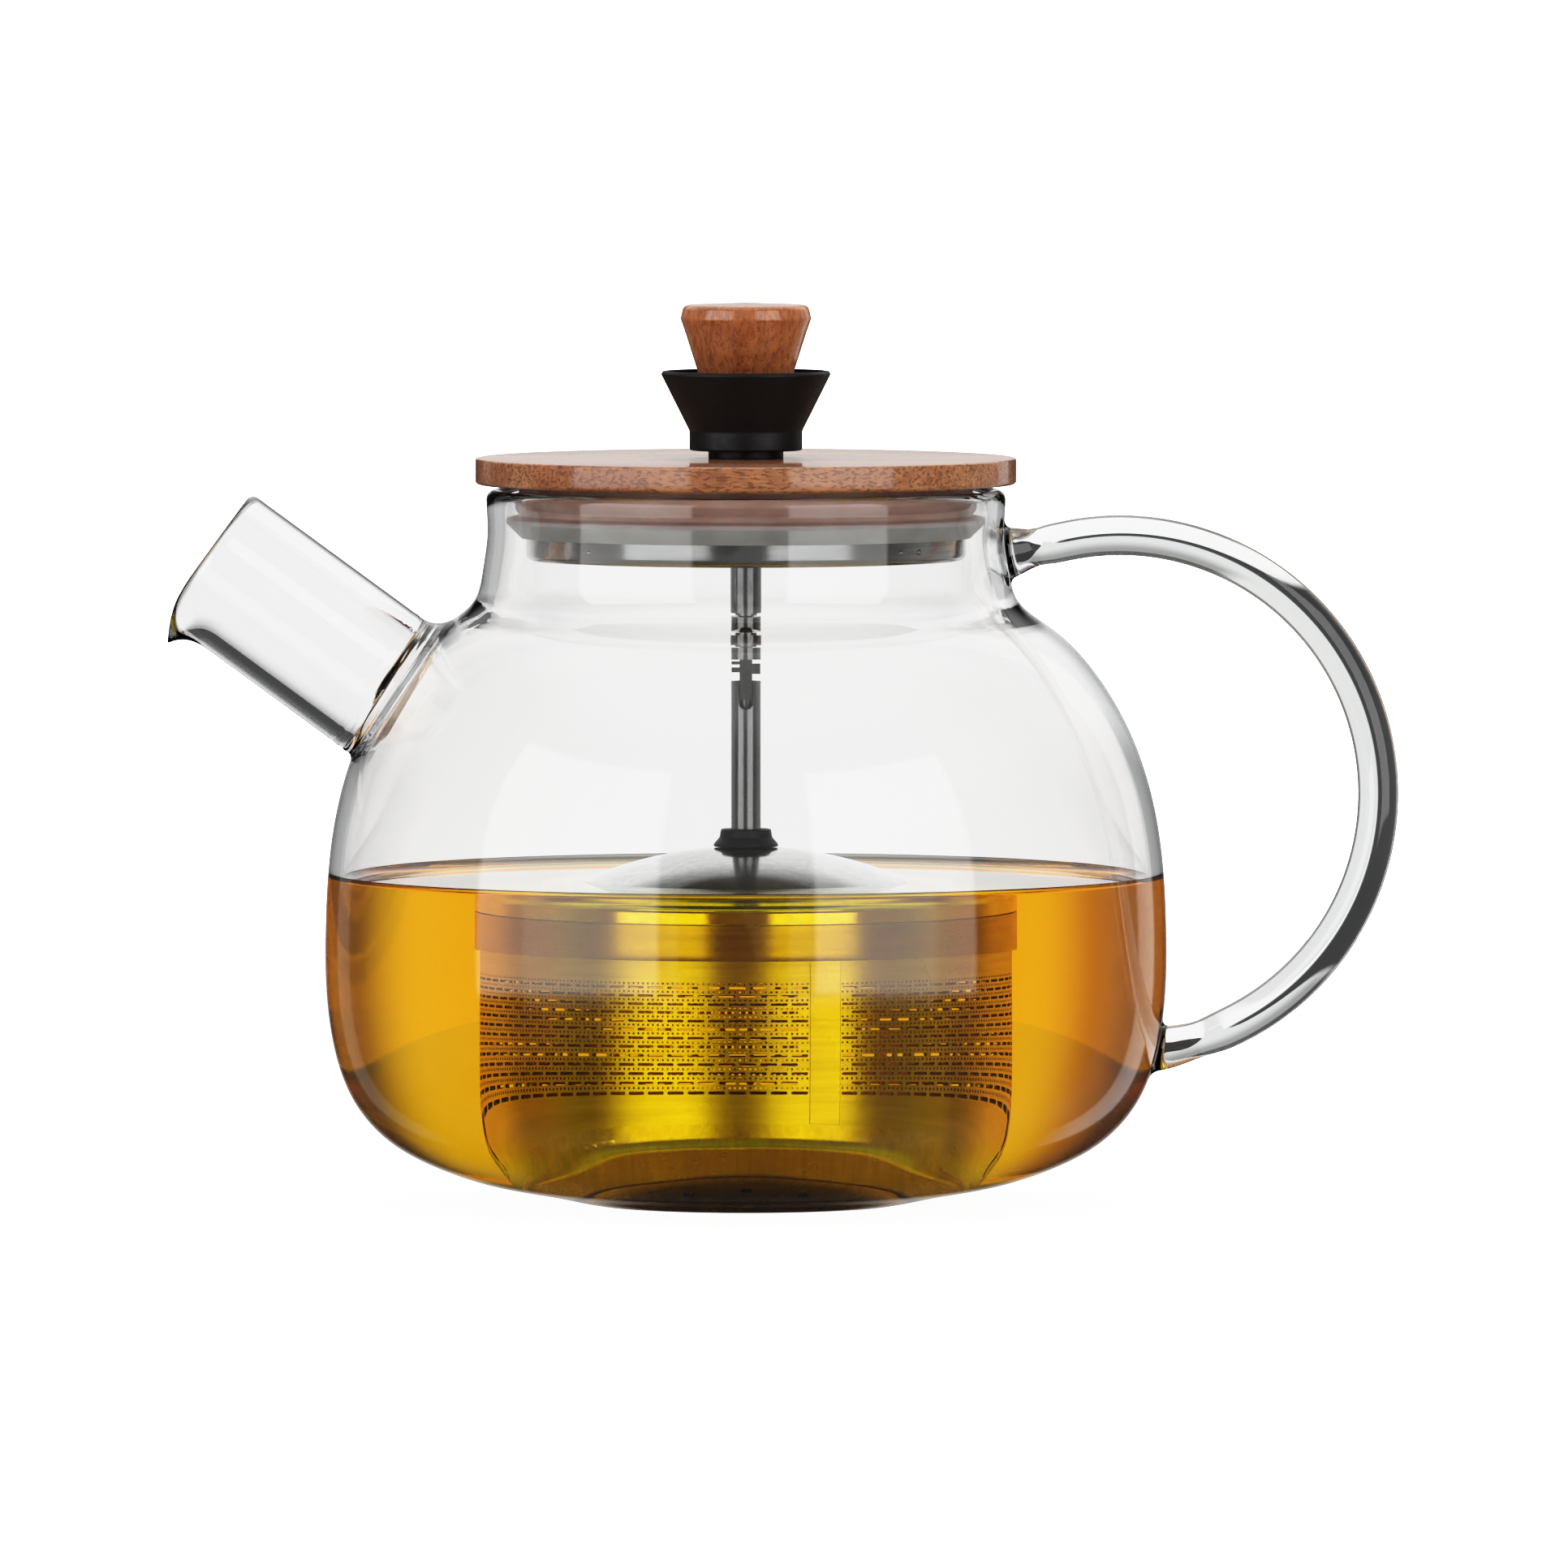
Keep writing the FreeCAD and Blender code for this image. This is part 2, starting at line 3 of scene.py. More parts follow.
import bpy
import numpy as np
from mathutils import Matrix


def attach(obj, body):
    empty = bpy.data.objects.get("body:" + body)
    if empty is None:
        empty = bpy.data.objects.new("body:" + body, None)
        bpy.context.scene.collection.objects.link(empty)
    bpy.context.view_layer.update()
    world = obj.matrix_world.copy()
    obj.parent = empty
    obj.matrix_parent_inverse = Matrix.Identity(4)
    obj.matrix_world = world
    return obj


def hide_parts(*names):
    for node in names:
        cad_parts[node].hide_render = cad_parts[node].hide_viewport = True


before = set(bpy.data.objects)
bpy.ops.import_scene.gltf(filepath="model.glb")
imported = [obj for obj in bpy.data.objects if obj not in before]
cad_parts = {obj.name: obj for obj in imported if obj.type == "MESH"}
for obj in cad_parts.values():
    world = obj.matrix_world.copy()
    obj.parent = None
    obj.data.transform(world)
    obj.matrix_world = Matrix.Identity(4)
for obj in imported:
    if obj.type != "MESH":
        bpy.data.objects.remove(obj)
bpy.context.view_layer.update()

# Shapes are in millimetres in the row frame, and Mesh.data() turns them into metres.
MM = 0.001

# --- Pot --------------------------------------------------------------------
POT_OUTSIDE = [
    (24.5, 0.0), (31.5, 1.4), (41.1, 3.2), (49.9, 6.1), (57.4, 10.3), (62.7, 16.3),
    (66.3, 26.5), (67.4, 43.5), (65.6, 63.0), (61.4, 76.0), (56.0, 85.1), (48.4, 92.7),
    (43.5, 96.8), (42.1, 102.0), (41.4, 108.0), (41.6, 113.0),
]
WALL = 2.4
NECK_WALL = 2.85
NECK_LOW_Z = 96.0
RIM_TOP_Z = 114.5
FOOT_INNER_R = 20.0
FOOT_EDGE = 2.2
PUNT_HEIGHT = 1.3
FLOOR_Z = 3.8
FLOOR_FLAT_R = 27.0
# The mesh: columns round the axis, the height of a row, and steps along the plain stretches.
COLUMNS = 256
ROW_STEP = 1.45
PUNT_STEPS = 10
RIM_STEPS = 12
FLOOR_STEPS = 14

SPOUT_MOUTH = np.array([-86.4, 0.0, 104.1])
SPOUT_SLOPE = math.radians(36.2)
SPOUT_ALONG = np.array([-math.cos(SPOUT_SLOPE), 0, math.sin(SPOUT_SLOPE)])
SPOUT_UP = np.array([math.sin(SPOUT_SLOPE), 0, math.cos(SPOUT_SLOPE)])
SPOUT_SIDE = np.cross(SPOUT_ALONG, SPOUT_UP)
SPOUT_R = 12.2
SPOUT_BORE_R = 9.5
SPOUT_LIP = (SPOUT_R - SPOUT_BORE_R) / 2
SPOUT_ROWS = 56
SPOUT_LIP_STEPS = 9
BEAK_DROP = 4.8
BEAK_LENGTH = 9.0
BEAK_HALF_ANGLE = math.radians(30)

# The handle's rod: a straight arm from the neck, then a bow that ends BOW_END_X beside its centre.
ROD_R = 3.25
ROD_ROWS = 110
BOW_R = 41.4
BOW = np.array([59.9, 0, 65.8])
BOW_END_X = 5.97
BOW_TOP = math.radians(101.6)
BOW_LOW = -math.acos(BOW_END_X / BOW_R)
ARM = np.array([math.sin(BOW_TOP), 0, -math.cos(BOW_TOP)])
ARM_UP = np.array([math.cos(BOW_TOP), 0, math.sin(BOW_TOP)])
ARM_SIDE = np.cross(ARM, ARM_UP)

TEA_TOP_Z = 51.8
TEA_IN_GLASS = 0.15
TEA_STEPS = 12
MENISCUS_RISE = 1.2
MENISCUS_WIDTH = 1.2
MENISCUS_GAP = 0.4
MENISCUS_STEPS = (
    0.25, 0.5, 0.8, 1.2, 1.7, 2.3, 3.0, 4.0, 5.2, 7.0, 9.5, 13.0, 18.0, 25.0, 33.0, 42.0, 52.0,
)


# --- Mesh tools -------------------------------------------------------------

class Mesh:
    """Points and faces that grow ring by ring."""

    def __init__(self):
        self.blocks = []
        self.count = 0
        self.faces = []

    def add(self, points):
        points = np.asarray(points, float).reshape(-1, 3)
        ids = np.arange(self.count, self.count + len(points))
        self.blocks.append(points)
        self.count += len(points)
        return ids

    def face(self, *ids, flip=False):
        ids = tuple(int(i) for i in ids)
        self.faces.append(ids[::-1] if flip else ids)

    def strip(self, a, b, flip=False):
        """Quads between two rings of the same length."""
        for k in range(len(a)):
            n = (k + 1) % len(a)
            self.face(a[k], a[n], b[n], b[k], flip=flip)

    def grow(self, last, points, flip=False):
        """One more ring, joined to the last."""
        ids = self.add(points)
        self.strip(last, ids, flip)
        return ids

    def fan(self, ring, tip, flip=False):
        for k in range(len(ring)):
            self.face(ring[k], ring[(k + 1) % len(ring)], tip, flip=flip)

    def data(self, name):
        """The Blender mesh, in metres."""
        mesh = bpy.data.meshes.new(name)
        points = np.concatenate(self.blocks) * MM
        mesh.from_pydata(points.tolist(), [], self.faces)
        return mesh

    def build(self, name, material, body, replaces=(), sharp=0):
        """A piece of the object, on its body and in place of the CAD nodes that it stands for."""
        mesh = self.data(name)
        mesh.validate()
        mesh.polygons.foreach_set("use_smooth", [True] * len(mesh.polygons))
        if sharp:
            mesh.set_sharp_from_angle(angle=math.radians(sharp))
        mesh.materials.append(material)
        piece = bpy.data.objects.new(name, mesh)
        bpy.context.scene.collection.objects.link(piece)
        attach(piece, body)
        if replaces:
            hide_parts(*replaces)


def ring(radius, height, count=COLUMNS):
    """A level circle of points, or the one point on the axis."""
    if radius < 1e-6:
        return np.array([(0, 0, height)])
    angles = np.arange(count) * 2 * math.pi / count
    return np.stack([radius * np.cos(angles), radius * np.sin(angles), np.full(count, height)], 1)


def lathe(mesh, profile, count, closed=True):
    """Turns (radius, height) points about the axis. The profile runs with the solid on its left."""
    rows = [mesh.add(ring(radius, height, count)) for radius, height in profile]
    pairs = list(zip(rows, rows[1:]))
    if closed:
        pairs.append((rows[-1], rows[0]))
    for a, b in pairs:
        if len(a) == 1 and len(b) == 1:
            continue
        if len(a) == 1:
            mesh.fan(b, a[0], flip=True)
        elif len(b) == 1:
            mesh.fan(a, b[0])
        else:
            mesh.strip(a, b)


def rounded(corners, steps=5):
    """An outline from (radius, height, rounding) corners, each rounded by an arc."""
    out = []
    n = len(corners)
    for k, (r, z, rounding) in enumerate(corners):
        here = np.array([r, z], float)
        before = np.array(corners[k - 1][:2], float) - here
        after = np.array(corners[(k + 1) % n][:2], float) - here
        if rounding <= 0 or r < 1e-6:
            out.append((r, z))
            continue
        length_a, length_b = np.linalg.norm(before), np.linalg.norm(after)
        before, after = before / length_a, after / length_b
        half = 0.5 * math.acos(max(-1.0, min(1.0, float(before @ after))))
        reach = min(rounding / math.tan(half), 0.49 * length_a, 0.49 * length_b)
        radius = reach * math.tan(half)
        centre = here + (before + after) / np.linalg.norm(before + after) * radius / math.sin(half)
        start, end = here + before * reach - centre, here + after * reach - centre
        a0, a1 = math.atan2(start[1], start[0]), math.atan2(end[1], end[0])
        turn = (a1 - a0 + math.pi) % (2 * math.pi) - math.pi
        for i in range(steps + 1):
            angle = a0 + turn * i / steps
            out.append((centre[0] + radius * math.cos(angle), centre[1] + radius * math.sin(angle)))
    return out


def refined(profile, step):
    """The same outline with no side longer than the step."""
    out = []
    for a, b in zip(np.array(profile), np.roll(profile, -1, axis=0)):
        parts = max(1, math.ceil(np.linalg.norm(b - a) / step))
        out += [tuple(a + (b - a) * i / parts) for i in range(parts)]
    return out


class Spline:
    """A smooth cubic curve through points, with given slopes at both ends."""

    def __init__(self, points, first, last):
        p = np.array(points, float)
        h = np.linalg.norm(np.diff(p, axis=0), axis=1)
        n = len(p)
        matrix = np.eye(n)
        wanted = np.zeros((n, 2))
        wanted[0] = np.array(first) / np.linalg.norm(first)
        wanted[-1] = np.array(last) / np.linalg.norm(last)
        for k in range(1, n - 1):
            matrix[k, k - 1:k + 2] = h[k], 2 * (h[k - 1] + h[k]), h[k - 1]
            wanted[k] = 3 * (
                h[k] * (p[k] - p[k - 1]) / h[k - 1] + h[k - 1] * (p[k + 1] - p[k]) / h[k]
            )
        self.points = p
        self.knots = np.concatenate([[0], np.cumsum(h)])
        self.slopes = np.linalg.solve(matrix, wanted)

    def _spans(self, t):
        t = np.atleast_1d(np.asarray(t, float))
        k = np.clip(np.searchsorted(self.knots, t, side="right") - 1, 0, len(self.knots) - 2)
        h = (self.knots[k + 1] - self.knots[k])[:, None]
        return k, h, (t - self.knots[k])[:, None] / h

    def at(self, t):
        k, h, u = self._spans(t)
        a, b = self.points[k], self.points[k + 1]
        return (
            a * (1 + 2 * u) * (1 - u) ** 2 + self.slopes[k] * h * u * (1 - u) ** 2
            + b * u * u * (3 - 2 * u) + self.slopes[k + 1] * h * u * u * (u - 1)
        )

    def slope(self, t):
        k, h, u = self._spans(t)
        a, b = self.points[k], self.points[k + 1]
        d = (
            (b - a) / h * 6 * u * (1 - u) + self.slopes[k] * (1 - u) * (1 - 3 * u)
            + self.slopes[k + 1] * u * (3 * u - 2)
        )
        return d / np.linalg.norm(d, axis=1)[:, None]


# --- The glass pot ----------------------------------------------------------

OUTSIDE = Spline(POT_OUTSIDE, (1, 0.15), (0, 1))


def pot_inside():
    inside = [(FLOOR_FLAT_R, FLOOR_Z)]
    for k in range(2, len(POT_OUTSIDE)):
        (r, z), (along_r, along_z) = POT_OUTSIDE[k], OUTSIDE.slope(OUTSIDE.knots[k])[0]
        wall = NECK_WALL if z > NECK_LOW_Z else WALL
        inside.append((r - along_z * wall, z + along_r * wall))
    return Spline(inside, (1, 0), (0, 1))


INSIDE = pot_inside()


def row_places(spline):
    """Even rows along the curve, with one on every knot."""
    places = [spline.knots[0]]
    for a, b in zip(spline.knots, spline.knots[1:]):
        parts = max(1, round((b - a) / ROW_STEP))
        places += list(a + (b - a) * np.arange(1, parts + 1) / parts)
    return np.array(places)


class Face:
    """The pot's outer or inner face over angle and row number."""

    def __init__(self, spline, places, first_row):
        self.spline = spline
        self.places = places
        self.first_row = first_row

    def at(self, angle, row):
        t = np.interp(row, np.arange(len(self.places)), self.places)
        rz = self.spline.at(t)
        return np.stack([rz[:, 0] * np.cos(angle), rz[:, 0] * np.sin(angle), rz[:, 1]], 1)

    def hit(self, angle, origin, along):
        """The row where a line in the plane of symmetry meets the face."""
        rows = np.linspace(0, len(self.places) - 1, 20001)
        points = self.at(np.full(len(rows), angle), rows)
        away = from_axis(points, origin, along)
        facing = (points - origin) @ along > -60
        row = rows[np.argmin(np.where(facing, away, 1e9))]
        return row, self.at(np.array([angle]), np.array([row]))[0]


def from_axis(points, origin, along):
    rel = points - origin
    return np.linalg.norm(rel - np.outer(rel @ along, along), axis=1)


class Branch:
    """A tube that leaves the pot's face through a block of its grid."""

    def __init__(self, mesh, face, grid, angle, origin, along, across, radius, fillet,
                 half_rows, half_columns, downward=False):
        self.mesh = mesh
        self.flip = downward
        row0, hit = face.hit(angle, origin, along)
        self.hit = hit
        middle = int(round(row0))
        column0 = int(round(angle / (2 * math.pi) * COLUMNS))
        low, high = middle - half_rows, middle + half_rows
        left, right = column0 - half_columns, column0 + half_columns
        self.block = (face.first_row + low, face.first_row + high, left, right)
        if downward:
            low, high = high, low
        rows_up = list(np.linspace(low, high, 2 * half_rows + 1).astype(int))
        columns = list(range(left, right + 1))
        loop = [(low, c) for c in columns[:-1]] + [(r, right) for r in rows_up[:-1]]
        loop += [(high, c) for c in columns[:0:-1]] + [(r, left) for r in rows_up[:0:-1]]
        self.edge = np.array([grid[face.first_row + r][c % COLUMNS] for r, c in loop])
        rows = np.array([r for r, _ in loop], float)
        angles = np.array([c for _, c in loop]) * 2 * math.pi / COLUMNS

        def surface(t):
            return face.at(angle + (angles - angle) * t, row0 + (rows - row0) * t)

        def reach(distance):
            near, far = np.zeros(len(loop)), np.ones(len(loop))
            for _ in range(48):
                half = (near + far) / 2
                inside = from_axis(surface(half), origin, along) < distance
                near, far = np.where(inside, half, near), np.where(inside, far, half)
            return near

        third = np.cross(along, across)
        self.corner = surface(reach(radius))
        rel = self.corner - origin
        self.angle = np.arctan2(rel @ third, rel @ across)
        blend = fillet(self.angle) if callable(fillet) else np.full(len(loop), fillet)
        t_foot = reach(radius + blend)
        self.foot = surface(t_foot)
        self.rings = [surface(t_foot + (1 - t_foot) * w) for w in (0.76, 0.52, 0.32, 0.15, 0.0)]
        flare = np.linalg.norm(self.corner - self.foot, axis=1)
        self.start = (self.corner - hit) @ along + flare * 0.9

    def join(self, tube_start, steps=7):
        """Rings from the edge of the block, over the fillet, to the tube's first ring."""
        rings = list(self.rings)
        for k in range(1, steps):
            u = k / steps
            bend = 2 * u * (1 - u) * self.corner
            rings.append(self.foot * (1 - u) ** 2 + bend + u * u * tube_start)
        last = self.edge
        for points in rings + [tube_start]:
            last = self.mesh.grow(last, points, self.flip)
        return last


def pot_profile(outer_places, inner_places):
    """The pot's section, from the axis underneath to the axis inside, and each face's first row."""
    profile = [(0.0, PUNT_HEIGHT)]
    sphere = (FOOT_INNER_R ** 2 + PUNT_HEIGHT ** 2) / (2 * PUNT_HEIGHT)
    for k in range(1, PUNT_STEPS + 1):
        r = FOOT_INNER_R * k / PUNT_STEPS
        profile.append((r, PUNT_HEIGHT - sphere + math.sqrt(sphere ** 2 - r ** 2)))
    profile.append((FOOT_INNER_R + FOOT_EDGE, 0.0))
    outer_row = len(profile)
    profile += [tuple(p) for p in OUTSIDE.at(outer_places)]
    rim_out, rim_in = POT_OUTSIDE[-1], INSIDE.points[-1]
    middle = (rim_out[0] + rim_in[0]) / 2
    half = (rim_out[0] - rim_in[0]) / 2
    rise = RIM_TOP_Z - rim_out[1]
    for k in range(1, RIM_STEPS):
        a = math.pi * k / RIM_STEPS
        profile.append((middle + half * math.cos(a), rim_out[1] + rise * math.sin(a)))
    inner_row = len(profile)
    profile += [tuple(p) for p in INSIDE.at(inner_places)]
    profile += [(FLOOR_FLAT_R * (1 - k / FLOOR_STEPS), FLOOR_Z) for k in range(1, FLOOR_STEPS)]
    profile.append((0.0, FLOOR_Z))
    return profile, outer_row, inner_row


def add_skin(mesh, grid, branches):
    """The pot's own faces, less the blocks that the tubes leave through."""
    blocked = np.zeros((len(grid), COLUMNS), bool)
    for branch in branches:
        low, high, left, right = branch.block
        for column in range(left, right):
            blocked[low:high, column % COLUMNS] = True
    for i, (a, b) in enumerate(zip(grid, grid[1:])):
        if len(a) == 1:
            mesh.fan(b, a[0], flip=True)
            continue
        if len(b) == 1:
            mesh.fan(a, b[0])
            continue
        for j in np.flatnonzero(~blocked[i]):
            n = (j + 1) % COLUMNS
            mesh.face(a[j], a[n], b[n], b[j])


def with_beak(points, angle, from_mouth):
    """The lowest part of the spout's mouth drawn down into a pouring lip."""
    low = (np.mod(angle, 2 * math.pi) - math.pi) / BEAK_HALF_ANGLE
    depth = BEAK_DROP * np.exp(-low ** 2) * np.clip(1 - from_mouth / BEAK_LENGTH, 0, 1) ** 2
    return points + np.outer(depth, (0.1, 0, -0.99))


def add_spout(mesh, root_out, root_in):
    """The tube's outer face, its rounded mouth and its inner face."""
    start_out = root_out.start + float((root_out.hit - SPOUT_MOUTH) @ SPOUT_ALONG)
    start_in = root_in.start + float((root_in.hit - SPOUT_MOUTH) @ SPOUT_ALONG)

    def tube(angle, along, radius):
        """A ring of the tube, with the ripples that fade from its root."""
        from_root = along - np.min(start_out)
        radius = radius + 0.2 * np.sin(from_root * 3.6) * np.exp(-(from_root / 3.2) ** 2)
        points = (
            SPOUT_MOUTH + np.outer(along, SPOUT_ALONG)
            + (radius * np.cos(angle))[:, None] * SPOUT_UP
            + (radius * np.sin(angle))[:, None] * SPOUT_SIDE
        )
        return with_beak(points, angle, -along)

    flat_out, flat_in = np.unwrap(root_out.angle), np.unwrap(root_in.angle)
    turn = 2 * math.pi * np.sign(flat_out[-1] - flat_out[0])
    even = flat_out[0] + turn * np.arange(len(flat_out)) / len(flat_out)
    even = even + np.mean(flat_out - even)

    def wall(last, flat, start, radius, flip=False):
        """Rows from the root's uneven angles to even ones at the mouth."""
        for k in range(1, SPOUT_ROWS + 1):
            u = k / SPOUT_ROWS
            w = min(1.0, u * 2)
            points = tube(flat * (1 - w) + even * w, start * (1 - u) - SPOUT_LIP * u, radius)
            last = mesh.grow(last, points, flip)
        return last

    last = wall(root_out.join(tube(flat_out, start_out, SPOUT_R)), flat_out, start_out, SPOUT_R)
    for k in range(1, SPOUT_LIP_STEPS):
        a = math.pi * k / SPOUT_LIP_STEPS
        along = SPOUT_LIP * (math.sin(a) - 1)
        last = mesh.grow(last, tube(even, along, SPOUT_BORE_R + SPOUT_LIP * (1 + math.cos(a))))
    first_in = root_in.join(tube(flat_in, start_in, SPOUT_BORE_R))
    flat_in = flat_in + 2 * math.pi * round(float(np.mean(even - flat_in)) / (2 * math.pi))
    mesh.strip(last, wall(first_in, flat_in, start_in, SPOUT_BORE_R, flip=True))


def add_handle(mesh, root_top, root_low, top_point, low_point, low_up):
    """The rod, swept from the upper root along the arm and round the bow to the lower root."""
    arm_length = float((top_point - root_top.hit) @ ARM)
    total = arm_length + BOW_R * (BOW_TOP - BOW_LOW)

    def rod(angle, s):
        """A ring of the rod, with a flare and a slight waist at each root."""
        low = total - s
        radius = (
            ROD_R + 0.9 * np.exp(-(s / 2.6) ** 2) - 0.25 * np.exp(-((s - 5.0) / 1.6) ** 2)
            + 0.3 * np.exp(-(low / 3.0) ** 2) - 0.35 * np.exp(-((low - 7.0) / 3.0) ** 2)
        )
        a = BOW_TOP - np.clip(s - arm_length, 0, None) / BOW_R
        out = np.stack([np.cos(a), np.zeros_like(a), np.sin(a)], 1)
        centre = BOW + BOW_R * out - np.outer(np.clip(arm_length - s, 0, None), ARM)
        return (
            centre + (radius * np.cos(angle))[:, None] * out
            + np.outer(radius * np.sin(angle), ARM_SIDE)
        )

    top_angle = np.unwrap(root_top.angle)
    top_s = root_top.start
    low_rel = root_low.corner - low_point
    low_angle = np.arctan2(low_rel @ ARM_SIDE, low_rel @ low_up)
    low_s = total - root_low.start

    def off_by(angle):
        return (angle - top_angle + math.pi) % (2 * math.pi) - math.pi

    # The lower root's points in the order that best follows the upper root's.
    size = len(top_angle)
    order = -np.arange(size)
    misses = [np.abs(off_by(low_angle[(order + shift) % size])).sum() for shift in range(size)]
    pick = (order + int(np.argmin(misses))) % size
    last = root_top.join(rod(top_angle, top_s))
    end = root_low.join(rod(low_angle, low_s))[pick]
    end_angle, end_s = top_angle + off_by(low_angle[pick]), low_s[pick]
    for k in range(1, ROD_ROWS):
        u = k / ROD_ROWS
        w = u * u * (3 - 2 * u)
        points = rod(top_angle * (1 - w) + end_angle * w, top_s * (1 - u) + end_s * u)
        last = mesh.grow(last, points)
    mesh.strip(last, end)


def make_pot():
    """The pot, its spout and its handle as one closed skin."""
    mesh = Mesh()
    outer_places = row_places(OUTSIDE)
    inner_places = row_places(INSIDE)[::-1]
    profile, outer_row, inner_row = pot_profile(outer_places, inner_places)
    grid = [mesh.add(ring(r, z)) for r, z in profile]
    outer = Face(OUTSIDE, outer_places, outer_row)
    inner = Face(INSIDE, inner_places, inner_row)
    spout_out = Branch(
        mesh, outer, grid, math.pi, SPOUT_MOUTH, SPOUT_ALONG, SPOUT_UP, SPOUT_R,
        lambda a: 2.3 + 1.3 * np.cos(a), 14, 14,
    )
    spout_in = Branch(
        mesh, inner, grid, math.pi, SPOUT_MOUTH, SPOUT_ALONG, SPOUT_UP, SPOUT_BORE_R,
        lambda a: 1.3 + 0.4 * np.cos(a), 14, 14, downward=True,
    )
    top_point = BOW + BOW_R * ARM_UP
    low_along = np.array([-math.sin(BOW_LOW), 0, math.cos(BOW_LOW)])
    low_up = np.array([math.cos(BOW_LOW), 0, math.sin(BOW_LOW)])
    low_point = BOW + BOW_R * low_up
    root_top = Branch(mesh, outer, grid, 0.0, top_point, ARM, ARM_UP, ROD_R + 0.9, 1.3, 6, 8)
    root_low = Branch(mesh, outer, grid, 0.0, low_point, low_along, low_up, ROD_R + 0.3, 1.5, 6, 8)
    add_skin(mesh, grid, (spout_out, spout_in, root_top, root_low))
    add_spout(mesh, spout_out, spout_in)
    add_handle(mesh, root_top, root_low, top_point, low_point, low_up)
    glass_nodes = ("pot_base", "pot_belly", "pot_shoulder", "pot_neck", "spout", "handle")
    mesh.build("pot_glass", GLASS, "pot", glass_nodes)


# --- Materials --------------------------------------------------------------

def put(value, socket):
    """Links an output to the socket, or sets the socket to a value."""
    if hasattr(value, "is_output"):
        socket.id_data.links.new(value, socket)
    else:
        socket.default_value = value


class Shader:
    """A Principled material and short ways to feed it."""

    def __init__(self, name, **settings):
        self.material = bpy.data.materials.new(name)
        self.material.use_nodes = True
        self.tree = self.material.node_tree
        self.bsdf = self.tree.nodes["Principled BSDF"]
        for key, value in settings.items():
            self.bsdf.inputs[key.replace("_", " ")].default_value = value

    def node(self, kind, inputs=None, **settings):
        node = self.tree.nodes.new(kind)
        for key, value in settings.items():
            setattr(node, key, value)
        for key, value in (inputs or {}).items():
            put(value, node.inputs[key])
        return node

    def object_place(self, scale=(1, 1, 1)):
        place = self.node("ShaderNodeTexCoord").outputs["Object"]
        return self.node("ShaderNodeMapping", {"Vector": place, "Scale": scale}).outputs["Vector"]

    def noise(self, place, scale, detail=4.0, roughness=0.5, distortion=0.0):
        return self.node("ShaderNodeTexNoise", {
            "Vector": place, "Scale": scale, "Detail": detail, "Roughness": roughness,
            "Distortion": distortion,
        }).outputs["Fac"]

    def ramp(self, value, stops):
        node = self.node("ShaderNodeValToRGB", {"Fac": value})
        elements = node.color_ramp.elements
        while len(elements) < len(stops):
            elements.new(0.5)
        for element, (position, colour) in zip(elements, stops):
            element.position = position
            element.color = (*colour, 1)
        return node.outputs["Color"]

    def remap(self, value, from_low, from_high, to_low, to_high):
        return self.node("ShaderNodeMapRange", {
            "Value": value, "From Min": from_low, "From Max": from_high, "To Min": to_low,
            "To Max": to_high,
        }).outputs["Result"]

    def mix(self, factor, a, b, blend="MIX"):
        node = self.node("ShaderNodeMix", data_type="RGBA", blend_type=blend)
        put(factor, node.inputs[0])
        put(a, node.inputs[6])
        put((*b, 1) if isinstance(b, tuple) else b, node.inputs[7])
        return node.outputs[2]

    def bump(self, height, distance, strength=1.0):
        inputs = {"Height": height, "Distance": distance, "Strength": strength}
        self.feed("Normal", self.node("ShaderNodeBump", inputs).outputs["Normal"])

    def feed(self, socket, output):
        self.tree.links.new(output, self.bsdf.inputs[socket])


def clear_material(name, ior, face_colour, wave_scale, wave_height, kept_colour, density):
    """Glass or liquid with faint waves in its faces, whose colour deepens with its thickness."""
    s = Shader(name, Roughness=0.0, IOR=ior, Transmission_Weight=1.0)
    waves = s.noise(s.object_place(), wave_scale, 2.0)
    s.feed("Base Color", s.ramp(waves, [(0.3, face_colour), (0.7, (1, 1, 1))]))
    s.bump(waves, wave_height)
    volume = s.node("ShaderNodeVolumeAbsorption", {"Color": (*kept_colour, 1), "Density": density})
    s.tree.links.new(volume.outputs["Volume"], s.tree.nodes["Material Output"].inputs["Volume"])
    return s.material


def wood_material(name, along, pale, mid, dark, fleck=0.5):
    """Fine-grained oiled wood; the fibres run along the axis with the smallest scale."""
    s = Shader(name, Roughness=0.42, Coat_Weight=0.8, Coat_Roughness=0.1)
    fibre = s.object_place(scale=along)
    broad = s.noise(fibre, 60.0, 6.0, 0.6, 0.4)
    fine = s.noise(fibre, 900.0, 3.0, 0.6)
    pores = s.noise(fibre, 2100.0, 2.0, 0.5)
    base = s.ramp(broad, [(0.3, dark), (0.5, mid), (0.72, pale)])
    grain = s.ramp(fine, [(0.35, (0.72, 0.68, 0.66)), (0.62, (1.05, 1.03, 1.0))])
    base = s.mix(0.8, base, grain, "MULTIPLY")
    pits = s.ramp(pores, [(0.52, (0, 0, 0)), (0.62, (1, 1, 1))])
    base = s.mix(s.remap(pits, 0, 1, 0, fleck), base, tuple(0.35 * c for c in dark))
    s.feed("Base Color", base)
    s.feed("Roughness", s.remap(fine, 0.3, 0.7, 0.36, 0.55))
    s.bump(s.remap(pits, 0, 1, 1, 0), 0.00008)
    return s.material


